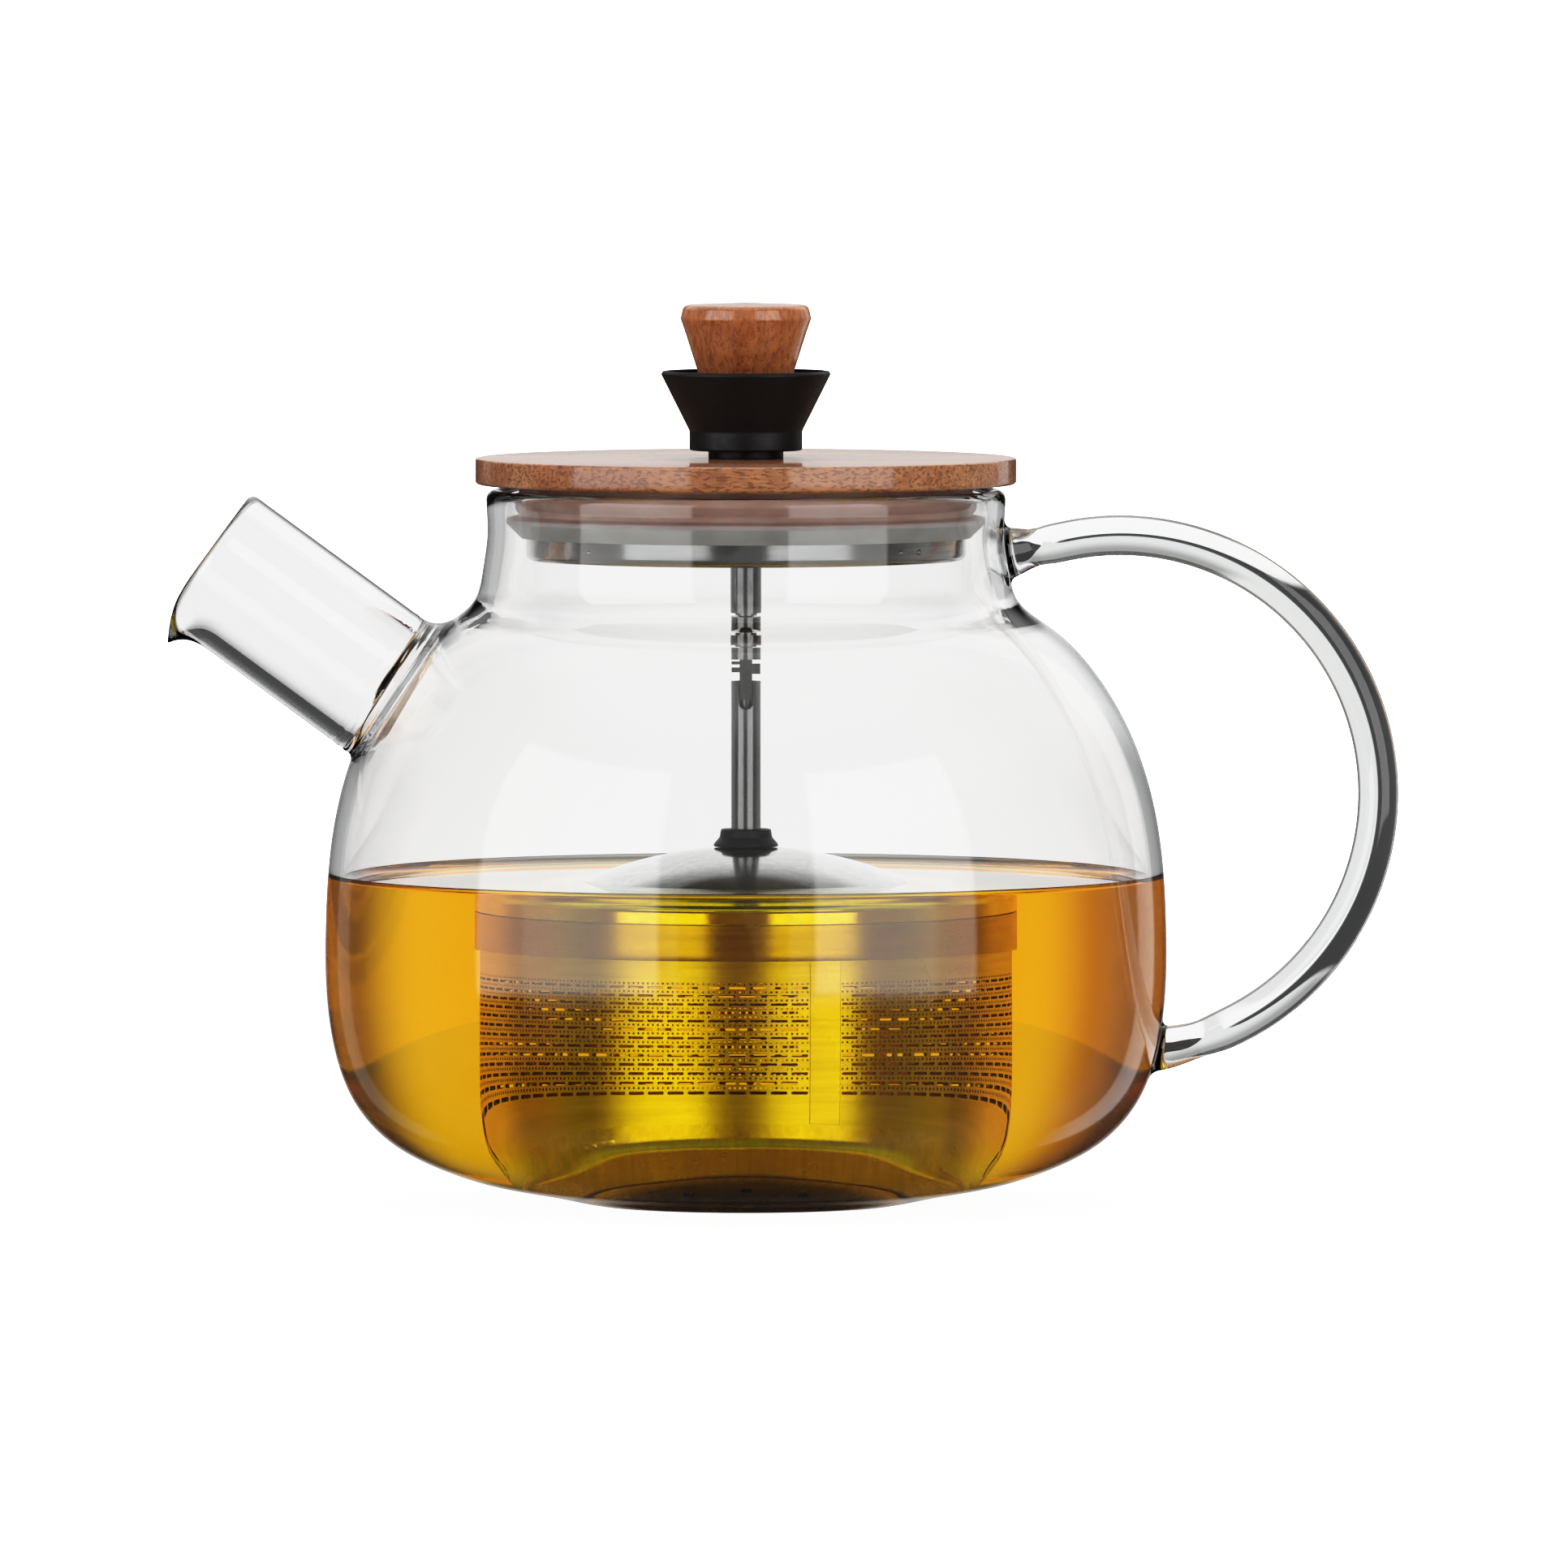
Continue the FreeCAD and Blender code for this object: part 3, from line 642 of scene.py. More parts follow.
def steel_material(name, direction, low, high, colour=(0.62, 0.62, 0.61)):
    """Stainless steel with fine brush lines; direction stretches the noise along them."""
    s = Shader(name, Metallic=1.0)
    place = s.object_place(scale=direction)
    lines = s.noise(place, 900.0, 3.0, 0.7)
    cloud = s.noise(s.object_place(), 60.0, 3.0)
    s.feed("Base Color", s.ramp(lines, [
        (0.3, tuple(0.86 * c for c in colour)), (0.7, tuple(1.08 * c for c in colour)),
    ]))
    s.feed("Roughness", s.remap(cloud, 0.3, 0.7, low, high))
    s.bump(lines, 0.00001, 0.6)
    return s.material


def dish_material():
    """Brushed steel whose recessed middle has reflection and shade painted into its colour."""
    s = Shader("steel_dish", Metallic=1.0)
    place = s.object_place()
    lines = s.noise(s.object_place(scale=(1, 0.05, 1)), 900.0, 3.0, 0.7)
    cloud = s.noise(place, 90.0, 4.0)
    level = s.node("ShaderNodeVectorMath", {0: place, 1: (1, 1, 0)}, operation="MULTIPLY")
    level = level.outputs["Vector"]
    from_axis_m = s.node("ShaderNodeVectorMath", {0: level}, operation="LENGTH").outputs["Value"]
    # Painted reflection and shade: from a dark middle over a painted bright ring and a painted dark
    # line at the step to the plain rim.
    # This ramp paints reflections and shade by radius; it is not a stain of the steel.
    painted_reflection_rings = s.ramp(s.remap(from_axis_m, 0.016, 0.0285, 0, 1), [
        (0.0, (0.07, 0.06, 0.05)), (0.24, (0.14, 0.12, 0.1)), (0.5, (0.6, 0.56, 0.5)),
        (0.58, (0.5, 0.46, 0.4)), (0.64, (0.04, 0.035, 0.03)), (0.7, (0.06, 0.05, 0.04)),
        (0.76, (0.62, 0.6, 0.58)), (1.0, (0.66, 0.64, 0.62)),
    ])
    tint = s.ramp(lines, [(0.3, (0.82, 0.8, 0.78)), (0.7, (1.06, 1.06, 1.05))])
    s.feed("Base Color", s.mix(1.0, painted_reflection_rings, tint, "MULTIPLY"))
    s.feed("Roughness", s.remap(cloud, 0.3, 0.7, 0.22, 0.34))
    s.bump(lines, 0.00001, 0.6)
    return s.material


def plastic_material(name, colour, roughness, grain=700.0, depth=0.00003):
    s = Shader(name)
    place = s.object_place()
    fine = s.noise(place, grain, 3.0)
    s.feed("Base Color", s.ramp(fine, [
        (0.3, tuple(0.8 * c for c in colour)), (0.7, tuple(min(1.0, 1.2 * c) for c in colour)),
    ]))
    s.feed("Roughness", s.remap(fine, 0.3, 0.7, roughness - 0.06, roughness + 0.06))
    s.bump(fine, depth)
    return s.material


def silicone_material():
    """Milky silicone with warm light from the wood above painted onto its upper part."""
    s = Shader("silicone", Roughness=0.38, Transmission_Weight=0.35, IOR=1.41,
               Subsurface_Weight=0.3, Subsurface_Scale=0.002)
    place = s.object_place()
    cloud = s.noise(place, 160.0, 3.0)
    milky = s.ramp(cloud, [(0.3, (0.42, 0.42, 0.42)), (0.7, (0.54, 0.54, 0.54))])
    # Painted light: the wood's warm colour, as if seen through the silicone, painted on the upper
    # part by height.
    painted_wood_light = s.ramp(cloud, [(0.3, (0.56, 0.35, 0.29)), (0.7, (0.68, 0.47, 0.4))])
    height = s.node("ShaderNodeSeparateXYZ", {0: s.node("ShaderNodeTexCoord").outputs["Object"]})
    s.feed("Base Color", s.mix(s.remap(height.outputs[2], 0.1095, 0.1106, 0, 1), milky, painted_wood_light))
    s.bump(s.noise(place, 900.0, 2.0), 0.00002)
    return s.material


# Brush lines that run round a turned piece.
ROUND = (0.05, 0.05, 1)
GLASS = clear_material(
    "clear_glass", 1.47, (0.985, 0.992, 0.99), 14.0, 0.00004, (0.0, 0.04, 0.03), 16.0,
)
TEA = clear_material("tea", 1.333, (0.98, 0.97, 0.94), 20.0, 0.00003, (0.991, 0.9553, 0.0), 170.0)
DISC_WOOD = wood_material(
    "lid_wood", (0.35, 1, 1), (0.66, 0.33, 0.17), (0.52, 0.23, 0.11), (0.36, 0.14, 0.065),
)
KNOB_WOOD = wood_material(
    "knob_wood", (0.9, 0.9, 0.16), (0.72, 0.31, 0.14), (0.58, 0.22, 0.085), (0.42, 0.15, 0.055),
    fleck=0.3,
)
STEEL_BRIGHT = steel_material("steel_polished", (1, 1, 1), 0.08, 0.16)
STEEL_SPUN = steel_material("steel_spun", ROUND, 0.16, 0.26)
STEEL_SKIRT = steel_material("steel_skirt", ROUND, 0.16, 0.26, (0.46, 0.41, 0.34))
STEEL_PAN = steel_material("steel_pan", ROUND, 0.12, 0.2, (0.4, 0.4, 0.4))
STEEL_BASKET = steel_material("steel_basket", ROUND, 0.24, 0.34)
STEEL_ROD = steel_material("steel_rod", (1, 1, 0.04), 0.12, 0.22, (0.3, 0.3, 0.3))
STEEL_DISH = dish_material()
BLACK = plastic_material("black_plastic", (0.005, 0.006, 0.008), 0.5)
WHITE = plastic_material("white_plastic", (0.78, 0.78, 0.75), 0.4)
SILICONE = silicone_material()
BRASS = steel_material("brass_turned", ROUND, 0.25, 0.35, (0.68, 0.47, 0.18))


# --- Pieces -----------------------------------------------------------------

def make_tea():
    """The liquid: the inside of the glass up to its level, with a rise at the wall."""
    mesh = Mesh()
    places = row_places(INSIDE)
    inside = INSIDE.at(places)
    slopes = INSIDE.slope(places)
    wall = inside + np.stack([slopes[:, 1], -slopes[:, 0]], 1) * TEA_IN_GLASS
    edge_z = TEA_TOP_Z + MENISCUS_RISE
    wall = wall[wall[:, 1] < edge_z - MENISCUS_GAP]
    edge_r = float(np.interp(edge_z, inside[:, 1], inside[:, 0])) + TEA_IN_GLASS
    low_z = FLOOR_Z - TEA_IN_GLASS
    profile = [(0.0, low_z)]
    profile += [(FLOOR_FLAT_R * k / TEA_STEPS, low_z) for k in range(1, TEA_STEPS)]
    profile += [tuple(p) for p in wall]
    profile.append((edge_r, edge_z))
    for inward in MENISCUS_STEPS:
        rise = MENISCUS_RISE * math.exp(-inward / MENISCUS_WIDTH)
        profile.append((edge_r - inward, TEA_TOP_Z + rise))
    profile.append((0.0, TEA_TOP_Z))
    lathe(mesh, profile, COLUMNS, closed=False)
    mesh.build("tea", TEA, "pot", sharp=60)


def turned(name, corners, material, body, count=192, step=None, steps=5, sharp=30):
    """A turned piece in place of the CAD node of that name."""
    mesh = Mesh()
    profile = rounded(corners, steps)
    if step:
        profile = refined(profile, step)
    lathe(mesh, profile, count)
    mesh.build(name + "_finished", material, body, (name,), sharp)


DISC_R = 43.35
DISC_LOW_Z = 115.4
DISC_TOP_Z = 119.6
SLEEVE_HOLE_R = 4.05
GUIDE_R = 2.7
PAN_R = 35.2
PAN_LOW_Z = 103.2
PAN_TOP_Z = 116.9
PAN_SHEET = 0.7
PAN_HOLE_R = 4.3
PAN_DOTS = [math.radians(-90 + turn) for turn in (-44.0, 43.4, 50.1, 136.0, -136.0)]
PAN_DOT_Z = 105.2
PAN_DOT_R = 0.5
PAN_DOT_PROUD = 0.3
SEAL_R = 38.4
SEAL_BORE_R = 35.25
SEAL_WAIST_R = 36.35


def weld_dot(mesh, azimuth):
    """A small round bead on the outside of the pan."""
    out = np.array([math.cos(azimuth), math.sin(azimuth), 0])
    along = np.array([-out[1], out[0], 0])
    centre = PAN_R * out + (0, 0, PAN_DOT_Z)
    turns = np.arange(16) * math.pi / 8
    rows = []
    for k in range(1, 8):
        a = math.pi * k / 8
        flat = PAN_DOT_R * math.sin(a)
        points = centre + PAN_DOT_PROUD * math.cos(a) * out + np.outer(flat * np.cos(turns), along)
        points[:, 2] += flat * np.sin(turns)
        rows.append(mesh.add(points))
    mesh.fan(rows[0], mesh.add([centre + PAN_DOT_PROUD * out])[0])
    for a, b in zip(rows, rows[1:]):
        mesh.strip(b, a)
    mesh.fan(rows[-1], mesh.add([centre - PAN_DOT_PROUD * out])[0], flip=True)


def lid():
    turned("lid_disc", [
        (SLEEVE_HOLE_R, DISC_LOW_Z, 0.1), (DISC_R, DISC_LOW_Z, 0.6), (DISC_R, DISC_TOP_Z, 0.35),
        (SLEEVE_HOLE_R, DISC_TOP_Z, 0.1),
    ], DISC_WOOD, "lid", 256, steps=8)
    pan = Mesh()
    lathe(pan, refined(rounded([
        (PAN_HOLE_R, PAN_LOW_Z, 0.1), (PAN_R, PAN_LOW_Z, 1.2), (PAN_R, PAN_TOP_Z, 0),
        (PAN_R - PAN_SHEET, PAN_TOP_Z, 0), (PAN_R - PAN_SHEET, PAN_LOW_Z + PAN_SHEET, 0.5),
        (PAN_HOLE_R, PAN_LOW_Z + PAN_SHEET, 0.1),
    ], 8), 1.5), 256)
    for azimuth in PAN_DOTS:
        weld_dot(pan, azimuth)
    pan.build("lid_pan_finished", STEEL_PAN, "lid", ("lid_pan",), 30)
    turned("seal_ring", [
        (SEAL_BORE_R, 106.9, 0), (35.95, 106.9, 0.3), (SEAL_R, 109.5, 0.4), (SEAL_R, 110.2, 0.3),
        (SEAL_WAIST_R, 110.6, 0.3), (SEAL_WAIST_R, 111.5, 0.3), (SEAL_R, 112.9, 0.4),
        (SEAL_R, 113.5, 0.3), (SEAL_WAIST_R, 113.9, 0.3), (SEAL_WAIST_R, 115.35, 0.1),
        (SEAL_BORE_R, 115.35, 0),
    ], SILICONE, "lid", 256)
    turned("grip_collar", [
        (SLEEVE_HOLE_R, DISC_TOP_Z, 0), (6.0, DISC_TOP_Z, 0.1), (6.0, 120.8, 0.1),
        (9.05, 120.8, 0.4), (9.05, 123.9, 1.0), (13.6, 133.0, 0.25), (13.3, 133.5, 0.15),
        (12.8, 133.5, 0.1), (12.8, 132.9, 0.1), (7.9, 132.9, 0.2), (7.9, 128.7, 0.1),
        (GUIDE_R, 128.7, 0.05), (GUIDE_R, 126.05, 0), (SLEEVE_HOLE_R, 126.05, 0),
    ], BLACK, "lid", 192)


KNOB_HOLE_R = 4.0
KNOB_HOLE_TOP_Z = 137.0
KNOB_TOP_Z = 144.5


def knob():
    turned("knob", [
        (KNOB_HOLE_R, 128.8, 0.1), (7.1, 128.8, 0.3), (7.15, 131.6, 3.0), (9.7, 139.6, 9.0),
        (10.5, 141.9, 1.2), (10.0, 144.1, 1.1), (0.0, KNOB_TOP_Z, 0), (0.0, KNOB_HOLE_TOP_Z, 0),
        (KNOB_HOLE_R, KNOB_HOLE_TOP_Z, 0.1),
    ], KNOB_WOOD, "lift_rod", 160, step=1.2, steps=7, sharp=40)


DOME_R = 66.0
DOME_TOP_Z = 57.3
DOME_SHEET = 0.5
DOME_HOLE_R = 2.45
DOME_EDGE_R = 31.2
DOME_STEPS = 40
EDGE_ARC = math.radians(62)
EDGE_STEPS = 8
EDGE_OUT = 1.4
EDGE_DROP = 1.3
SKIRT_R = 32.6
SKIRT_SHEET = 0.4
SKIRT_LOW_Z = 41.0
DOME_LOW_Z = 46.6


def dome_outline():
    """Up the rolled edge to the hole, and back down the sheet's inside."""
    centre = DOME_TOP_Z - DOME_R

    def sheet(radius, start, end):
        places = np.linspace(start, end, DOME_STEPS)
        return [(r, centre + math.sqrt(radius ** 2 - r * r)) for r in places]

    outer = sheet(DOME_R, DOME_EDGE_R, DOME_HOLE_R)
    inner = sheet(DOME_R - DOME_SHEET, DOME_HOLE_R, DOME_EDGE_R - 0.2)
    edge_z = outer[0][1]
    edge = []
    for k in range(EDGE_STEPS):
        a = EDGE_ARC * k / EDGE_STEPS
        out = (math.cos(a) - math.cos(EDGE_ARC)) / (1 - math.cos(EDGE_ARC))
        drop = 1 - math.sin(a) / math.sin(EDGE_ARC)
        edge.append((DOME_EDGE_R + EDGE_OUT * out, edge_z - EDGE_DROP * drop))
    inside_r = SKIRT_R - SKIRT_SHEET
    return [(SKIRT_R, DOME_LOW_Z)] + edge + outer + inner + [
        (inside_r - 0.2, edge_z - 1.2), (inside_r, edge_z - 1.7), (inside_r, DOME_LOW_Z),
    ]


def infuser():
    turned("rod_collar", [
        (DOME_HOLE_R, DOME_TOP_Z, 0), (5.15, DOME_TOP_Z, 0.15), (5.15, 57.7, 0.2), (4.2, 58.8, 0.3),
        (4.0, 60.1, 0.3), (DOME_HOLE_R, 60.1, 0.1),
    ], BLACK, "infuser", 96)
    mesh = Mesh()
    lathe(mesh, dome_outline(), 256)
    mesh.build("dome_lid_finished", STEEL_BRIGHT, "infuser", ("dome_lid",), 40)
    skirt_top = DOME_LOW_Z - 0.15
    turned("dome_skirt", [
        (SKIRT_R - SKIRT_SHEET, SKIRT_LOW_Z, 0.05), (SKIRT_R, SKIRT_LOW_Z, 0.1),
        (SKIRT_R, skirt_top, 0.1), (SKIRT_R - SKIRT_SHEET, skirt_top, 0.05),
    ], STEEL_SKIRT, "infuser", 256, step=1.2)


BASKET_R = 31.95
BASKET_SHEET = 0.5
WALL_LOW_Z = 19.5
WALL_TOP_Z = 47.6
# The sheet is laid out in columns from the seam's left edge, and the pattern in rows.
BASKET_COLUMNS = 278
BASKET_STEP = 2 * math.pi / BASKET_COLUMNS
COLUMN_WIDTH = BASKET_R * BASKET_STEP
SEAM_COLUMNS = 6
SEAM_LEFT = math.radians(-90 + 16.1)
SEAM_TOP_Z = 40.8
SEAM_PROUD = 0.2
PLAIN_ROWS_Z = (40.5, 44.0, WALL_TOP_Z)
SLOT_ROWS = 13
PATTERN_LOW_Z = 22.85
PATTERN_PITCH = 1.18
SLOT_HALF_ROW = 0.3
SLOT_COLUMNS = 4
SLOT_SHIFT = 2
SLOT_INSET = 0.27 / COLUMN_WIDTH
SLOT_CORNER = 0.2
HALF_SLOT = 0.18
HALF_PIN_HOLE = 0.135


def on_sheet(column, z, radius):
    a = SEAM_LEFT + column * BASKET_STEP
    return (radius * math.cos(a), radius * math.sin(a), z)


class SheetFace:
    """The outer or inner face of the basket's sheet."""

    def __init__(self, mesh, radius, flip):
        self.mesh = mesh
        self.radius = radius
        self.flip = flip
        self.lines = {}

    def line(self, z):
        if z not in self.lines:
            points = [on_sheet(c, z, self.radius) for c in range(BASKET_COLUMNS)]
            self.lines[z] = self.mesh.add(points)
        return self.lines[z]

    def plain(self, low, high, column):
        a, b, n = self.line(low), self.line(high), (column + 1) % BASKET_COLUMNS
        self.mesh.face(a[column], a[n], b[n], b[column], flip=self.flip)

    def hole(self, low, high, column, width, outline):
        """A cell with a hole; the outline's points pair with the cell's own corners."""
        a, b = self.line(low), self.line(high)
        cell = [a[(column + k) % BASKET_COLUMNS] for k in range(width + 1)]
        cell += [b[(column + k) % BASKET_COLUMNS] for k in range(width, -1, -1)]
        ids = self.mesh.add([on_sheet(c, z, self.radius) for c, z in outline])
        self.mesh.strip(cell, ids, self.flip)
        return ids


def sheet_rows():
    """(kind, low, high, first column) of each row, from the bottom up."""
    rows = []
    for k in range(SLOT_ROWS):
        middle = PATTERN_LOW_Z + k * PATTERN_PITCH
        low, high = middle - SLOT_HALF_ROW, middle + SLOT_HALF_ROW
        rows.append(("slot", low, high, SEAM_COLUMNS + SLOT_SHIFT * (k % 2)))
        if k < SLOT_ROWS - 1:
            rows.append(("pin", high, middle + PATTERN_PITCH - SLOT_HALF_ROW, SEAM_COLUMNS))
    rows.insert(0, ("plain", WALL_LOW_Z, rows[0][1], 0))
    top = rows[-1][2]
    pins_top = top + PATTERN_PITCH - 2 * SLOT_HALF_ROW
    rows.append(("pin", top, pins_top, SEAM_COLUMNS))
    for high in PLAIN_ROWS_Z:
        rows.append(("plain", rows[-1][2], high, 0))
    return rows


def slot_outline(column, z):
    left, right = column + SLOT_INSET, column + SLOT_COLUMNS - SLOT_INSET
    low, high = z - HALF_SLOT * 0.4, z + HALF_SLOT * 0.4
    between = (left + SLOT_CORNER, (left + right) / 2, right - SLOT_CORNER)
    below = [(c, z - HALF_SLOT) for c in between]
    above = [(c, z + HALF_SLOT) for c in between[::-1]]
    return [(left, low), *below, (right, low), (right, high), *above, (left, high)]


def pin_outline(column, z):
    middle, half = column + 0.5, HALF_PIN_HOLE / COLUMN_WIDTH
    left, right = middle - half, middle + half
    low, high = z - HALF_PIN_HOLE, z + HALF_PIN_HOLE
    return [(left, low), (right, low), (right, high), (left, high)]


def add_seam(mesh):
    """The lapped edge of the sheet, a low strip up the wall."""
    lap = [(BASKET_R - 0.05, 0.0), (BASKET_R + SEAM_PROUD * 0.7, 0.0), (BASKET_R + SEAM_PROUD, 0.1)]
    lap += [(radius, SEAM_COLUMNS - column) for radius, column in lap[::-1]]
    rows = []
    for z in np.linspace(WALL_LOW_Z + 0.1, SEAM_TOP_Z, 24):
        rows.append(mesh.add([on_sheet(column, z, radius) for radius, column in lap]))
    mesh.face(*rows[0])
    for a, b in zip(rows, rows[1:]):
        mesh.strip(a, b, flip=True)
    mesh.face(*rows[-1], flip=True)


def basket():
    """The rolled sheet: rows of slots and pin holes cut through it, and a lapped seam."""
    mesh = Mesh()
    outer = SheetFace(mesh, BASKET_R, False)
    inner = SheetFace(mesh, BASKET_R - BASKET_SHEET, True)
    cuts = {"slot": (SLOT_COLUMNS, slot_outline), "pin": (1, pin_outline)}
    for kind, low, high, first in sheet_rows():
        width, outline_at = cuts.get(kind, (BASKET_COLUMNS + 1, None))
        column = 0
        while column < BASKET_COLUMNS:
            if column >= first and column + width <= BASKET_COLUMNS:
                outline = outline_at(column, (low + high) / 2)
                a = outer.hole(low, high, column, width, outline)
                mesh.strip(a, inner.hole(low, high, column, width, outline))
                column += width
            else:
                outer.plain(low, high, column)
                inner.plain(low, high, column)
                column += 1
    for z, upside in ((WALL_LOW_Z, True), (WALL_TOP_Z, False)):
        mesh.strip(outer.line(z), inner.line(z), flip=upside)
    add_seam(mesh)
    mesh.build("basket_wall_finished", STEEL_BASKET, "basket", ("basket_wall",), 30)


def hidden_nodes():
    """Pieces that keep their CAD shape and only take a material."""
    finishes = (
        (STEEL_ROD, "collar_sleeve", "pull_rod", "coupling_hook", "coupling_band", "infuser_rod"),
        (STEEL_SPUN, "collar_washer", "dome_washer"), (STEEL_BRIGHT, "collar_nut", "dome_nut"),
        (STEEL_DISH, "basket_base"), (STEEL_BASKET, "basket_rim"), (WHITE, "guide_bush"),
        (BRASS, "knob_insert"),
    )
    for finish, *nodes in finishes:
        for node in nodes:
            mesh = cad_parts[node].data
            mesh.materials.clear()
            mesh.materials.append(finish)


# --- Studio -----------------------------------------------------------------

# Strengths of light, where 1 shows as a light grey and TONE_WHITE as white.
BACKDROP = 4.0
BOX_LIGHT = 3.4
BOX_THROUGH = 1.25
BOX_THROUGH_TEA = 2.2
GLOSSY_DARK = 0.03
SIDE_DARK = 0.2
SIDE_DARK_TEA = 0.34
SIDE_GLOW = 0.3
FILL_LIGHT = 1.15
FLOOR_SHOWN = 1.4
TEA_TINT = (1, 0.66, 0.45)
TONE_WHITE = 1.6
# The finish of the picture: (light in the scene, light shown).
TONES = (
    (0.05, 0.022), (0.1, 0.058), (0.2, 0.15), (0.4, 0.37), (0.7, 0.68), (0.9, 0.85), (1.0, 0.89),
    (1.2, 0.94),
)
DEGREES = math.degrees(1)

FLOOR_RINGS = (780.0, 520.0, 300.0, 120.0, 0.0)
FLOOR_GAP = 0.05
# The camera's places are in metres.
SENSOR = 36.0
VIEW_DISTANCE = 4.1
VIEW_RISE = math.radians(2.8)
VIEW_WIDTH = 0.2512
VIEW_AIM = np.array([0.0061, 0.0, 0.0673])


def tones():
    """Deepens the shadows a little and holds the highlights."""
    view = bpy.context.scene.view_settings
    view.view_transform = "Standard"
    view.use_curve_mapping = True
    mapping = view.curve_mapping
    mapping.white_level = (TONE_WHITE,) * 3
    curve = mapping.curves[3]
    for light, shown in TONES:
        curve.points.new(light / TONE_WHITE, shown)
    mapping.update()


class Value:
    """A number in the world's nodes. What is worked out from it is more nodes."""

    def __init__(self, socket):
        self.socket = socket

    def node(self, kind, *inputs, **settings):
        tree = self.socket.id_data
        made = tree.nodes.new(kind)
        for key, value in settings.items():
            setattr(made, key, value)
        for index, value in enumerate(inputs):
            put(getattr(value, "socket", value), made.inputs[index])
        return Value(made.outputs[0])

    def math(self, operation, *others):
        return self.node("ShaderNodeMath", self, *others, operation=operation)

    def __add__(self, other):
        return self.math("ADD", other)

    def __mul__(self, other):
        return self.math("MULTIPLY", other)

    def __sub__(self, other):
        return self.math("SUBTRACT", other)

    def __rsub__(self, other):
        return self.node("ShaderNodeMath", other, self, operation="SUBTRACT")

    __radd__ = __add__
    __rmul__ = __mul__


def step(value, low, high):
    """0 below low, 1 above high, and a smooth rise between."""
    return value.node(
        "ShaderNodeMapRange", value, low, high, 0.0, 1.0, interpolation_type="SMOOTHSTEP",
    )


def band(value, low, high, soft):
    """1 between low and high, and 0 outside, with soft edges."""
    rise = step(value, low - soft, low + soft)
    return rise * (1 - step(value, high - soft, high + soft))


def blend(factor, at_none, at_full):
    return (1 - factor) * at_none + factor * at_full


class Sky:
    """The direction of a ray that meets the world, and what it has passed on its way.

    Azimuth is in degrees from -Y towards +X, away is the same on both sides, and elevation is in
    degrees over the horizon.
    """

    def __init__(self, tree):
        place = tree.nodes.new("ShaderNodeTexCoord").outputs["Generated"]
        split = tree.nodes.new("ShaderNodeSeparateXYZ")
        tree.links.new(place, split.inputs[0])
        self.x, y, self.z = (Value(output) for output in split.outputs)
        self.azimuth = self.x.math("ARCTAN2", y * -1.0) * DEGREES
        self.elevation = self.z.math("ARCSINE") * DEGREES
        self.away = self.azimuth.math("ABSOLUTE")

        rays = tree.nodes.new("ShaderNodeLightPath").outputs
        depth = Value(rays["Transmission Depth"])
        self.camera_ray = Value(rays["Is Camera Ray"])
        self.glossy_ray = Value(rays["Is Glossy Ray"])
        self.through_ray = Value(rays["Is Transmission Ray"])
        self.thin = 1 - step(depth, 3.2, 3.8)
        self.wet = step(depth, 5.2, 5.8)
        self.unturned = 1 - step(Value(rays["Glossy Depth"]), 0.2, 0.8)

        self.overhead = step(self.elevation, 42.0, 62.0)
        self.behind = step(self.away, 132.0, 152.0)
        boxes = band(self.azimuth, -65.0, -19.0, 1.5) + band(self.azimuth, 12.0, 55.0, 1.5)
        self.boxes = boxes * band(self.elevation, -9.0, 37.0, 1.5)
        self.past_end = self.wet * self.unturned * band(self.azimuth, -151.0, -100.0, 6.0)


def mirrored_light(sky):
    """What the outsides of things mirror: two soft boxes, strips at the sides, and the back."""
    azimuth, elevation, away = sky.azimuth, sky.elevation, sky.away
    boxes = band(azimuth, -79.0, -24.0, 1.2) + band(azimuth, 19.0, 66.0, 1.2)
    strips = (
        band(azimuth, 137.0, 151.0, 1.5) * 0.75 + band(azimuth, 116.0, 150.0, 6.0) * 0.22
        + band(azimuth, -151.0, -140.0, 1.5) * 0.25
    )
    grazing = step(away, 166.0, 176.0) * blend(step(elevation, -1.5, 1.0), 0.4, 0.72)
    upper_back = step(away, 96.0, 124.0) * band(elevation, 17.0, 84.0, 7.0)
    return (
        GLOSSY_DARK + boxes * band(elevation, -6.5, 37.0, 1.0) * BOX_LIGHT
        + strips * band(elevation, -35.0, 55.0, 5.0) + grazing * band(elevation, -12.0, 60.0, 4.0)
        + sky.overhead * 0.9 + upper_back * 0.85
    )


def light_off_pieces(sky):
    """What is seen by way of a piece or a surface inside the glass."""
    return (
        blend(sky.wet, SIDE_DARK, SIDE_DARK_TEA)
        + sky.boxes * blend(sky.wet, BOX_THROUGH, BOX_THROUGH_TEA)
        + sky.behind * band(sky.elevation, blend(sky.wet, -24.0, -38.0), 38.0, 8.0)
        + band(sky.away, 95.0, 140.0, 15.0) * SIDE_GLOW + sky.overhead * 0.5
    )


def light_straight_through(sky):
    """What is seen through both walls: the backdrop, which ends sooner on the left."""
    back = sky.behind * band(sky.elevation, -22.0, 38.0, 12.0)
    return (
        blend(back, blend(sky.wet, 0.45, 0.12), 1.16) * (1 - sky.past_end * 0.4)
        + (1 - step(sky.away, 85.0, 105.0)) * 1.7 + sky.overhead * 0.3
    )


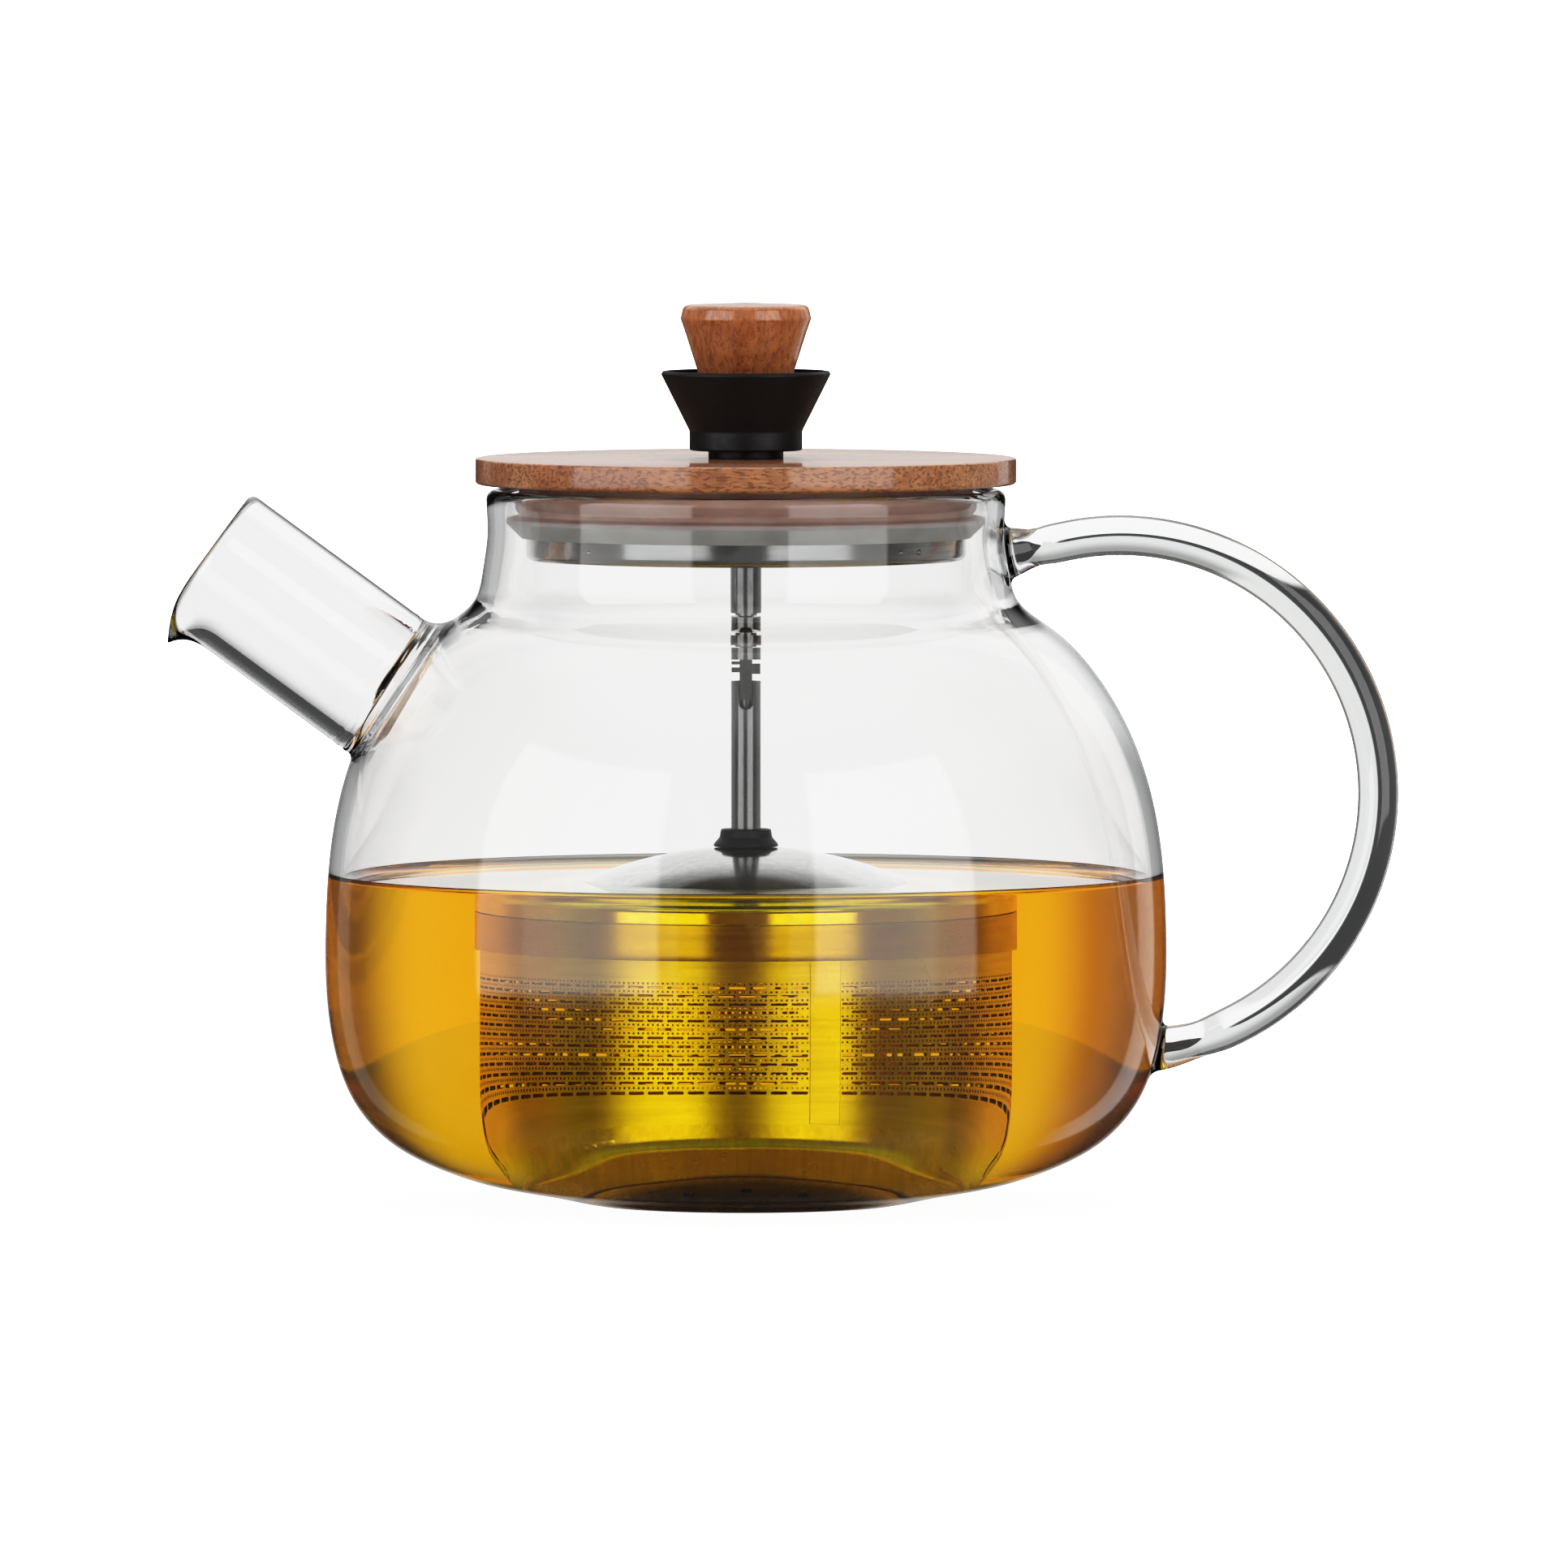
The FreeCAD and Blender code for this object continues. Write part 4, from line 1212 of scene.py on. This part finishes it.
def light_through_one_thickness(sky):
    """What is seen through the handle's rod, and along the pot's wall.

    The sector is an angle about a direction a little off the backdrop's middle, from -X upwards,
    and off_axis is how far from that direction the ray points.
    """
    aside, raised = 0.06 - sky.x, sky.z + 0.049
    sector = raised.math("ARCTAN2", aside) * DEGREES
    off_axis = (raised * raised + aside * aside).math("SQRT")

    rod = blend(band(sector, -114.0, -48.0, 4.0), 0.92, 1.35)
    inner_side = 1 - band(sector, -60.0, 38.0, 6.0)
    rod = blend(inner_side * band(off_axis, 0.72, 0.95, 0.04), rod, 0.22)
    above = band(sector, 38.0, 112.0, 4.0)
    rod = blend(above * step(off_axis, 0.15, 0.5), rod, 0.42)
    rod = blend(above * step(off_axis, 0.58, 0.7), rod, 0.1)
    rod = blend(band(sector, -46.0, 37.0, 1.5) * band(off_axis, 0.03, 0.97, 0.02), rod, 0.09)

    wall = blend(band(sector, 55.0, 150.0, 8.0), 0.65, 1.25)
    aslant = step(off_axis, 0.04, 0.3)
    wall = blend(band(sector, -18.0, 15.0, 4.0) * aslant, wall, 0.68)
    wall = blend(band(sector, 15.0, 45.0, 5.0) * aslant, wall, 0.42)
    wall = blend(band(sector, -100.0, -20.0, 8.0) * aslant, wall, 0.12)
    return blend(sky.unturned, wall, rod)


def tea_tint(sky):
    """How far the light has already been through tea, as at the tea's dark sides."""
    turned_in_tea = sky.wet * (1 - sky.unturned)
    dark = turned_in_tea * ((1 - sky.boxes) * band(sky.elevation, -30.0, 22.0, 8.0))
    dark = dark * (1 - band(sky.away, 78.0, 106.0, 5.0) * 0.6)
    return sky.through_ray * (dark + sky.past_end)


def studio():
    world = bpy.data.worlds.new("studio")
    bpy.context.scene.world = world
    world.use_nodes = True
    tree = world.node_tree
    tree.nodes.clear()
    sky = Sky(tree)
    through = blend(
        sky.thin, blend(sky.unturned, light_off_pieces(sky), light_straight_through(sky)),
        light_through_one_thickness(sky),
    )
    strength = blend(sky.glossy_ray, FILL_LIGHT, mirrored_light(sky))
    strength = blend(sky.through_ray, strength, through)
    strength = blend(sky.camera_ray, strength, BACKDROP)

    tint = tree.nodes.new("ShaderNodeMix")
    tint.data_type = "RGBA"
    tree.links.new(tea_tint(sky).socket, tint.inputs[0])
    tint.inputs[6].default_value = (1, 1, 1, 1)
    tint.inputs[7].default_value = (*TEA_TINT, 1)
    background = tree.nodes.new("ShaderNodeBackground")
    tree.links.new(tint.outputs[2], background.inputs["Color"])
    tree.links.new(strength.socket, background.inputs["Strength"])
    output = tree.nodes.new("ShaderNodeOutputWorld")
    tree.links.new(background.outputs[0], output.inputs["Surface"])


def floor_material():
    """Pale paper that the camera sees as bright as the backdrop."""
    s = Shader("floor_paper", Roughness=0.9, Specular_IOR_Level=0.0)
    cloud = s.noise(s.object_place(), 6.0, 3.0)
    s.feed("Base Color", s.ramp(cloud, [(0.3, (0.29, 0.29, 0.29)), (0.7, (0.31, 0.31, 0.31))]))
    s.bsdf.inputs["Emission Color"].default_value = (1, 1, 1, 1)
    camera_ray = s.node("ShaderNodeLightPath").outputs["Is Camera Ray"]
    s.feed("Emission Strength", s.remap(camera_ray, 0.0, 1.0, 0.0, FLOOR_SHOWN))
    return s.material


def add_floor():
    disc = Mesh()
    lathe(disc, [(radius, -FLOOR_GAP) for radius in FLOOR_RINGS], 96, closed=False)
    mesh = disc.data("floor")
    mesh.materials.append(floor_material())
    floor = bpy.data.objects.new("floor", mesh)
    floor.visible_glossy = False
    floor.visible_transmission = False
    bpy.context.scene.collection.objects.link(floor)


def camera():
    """A long lens from a little above the tea, in metres."""
    data = bpy.data.cameras.new("camera")
    data.sensor_width = SENSOR
    data.lens = SENSOR * VIEW_DISTANCE / VIEW_WIDTH
    data.clip_end = 50.0
    made = bpy.data.objects.new("camera", data)
    back = np.array([0, -math.cos(VIEW_RISE), math.sin(VIEW_RISE)])
    made.location = VIEW_AIM + VIEW_DISTANCE * back
    made.rotation_euler = (math.pi / 2 - VIEW_RISE, 0, 0)
    bpy.context.scene.collection.objects.link(made)
    bpy.context.scene.camera = made


camera()
studio()
add_floor()
make_pot()
make_tea()
lid()
knob()
infuser()
basket()
hidden_nodes()

scene = bpy.context.scene
tones()
scene.cycles.max_bounces = 32
scene.cycles.transmission_bounces = 32
scene.cycles.glossy_bounces = 12
scene.cycles.transparent_max_bounces = 32
scene.cycles.use_denoising = True
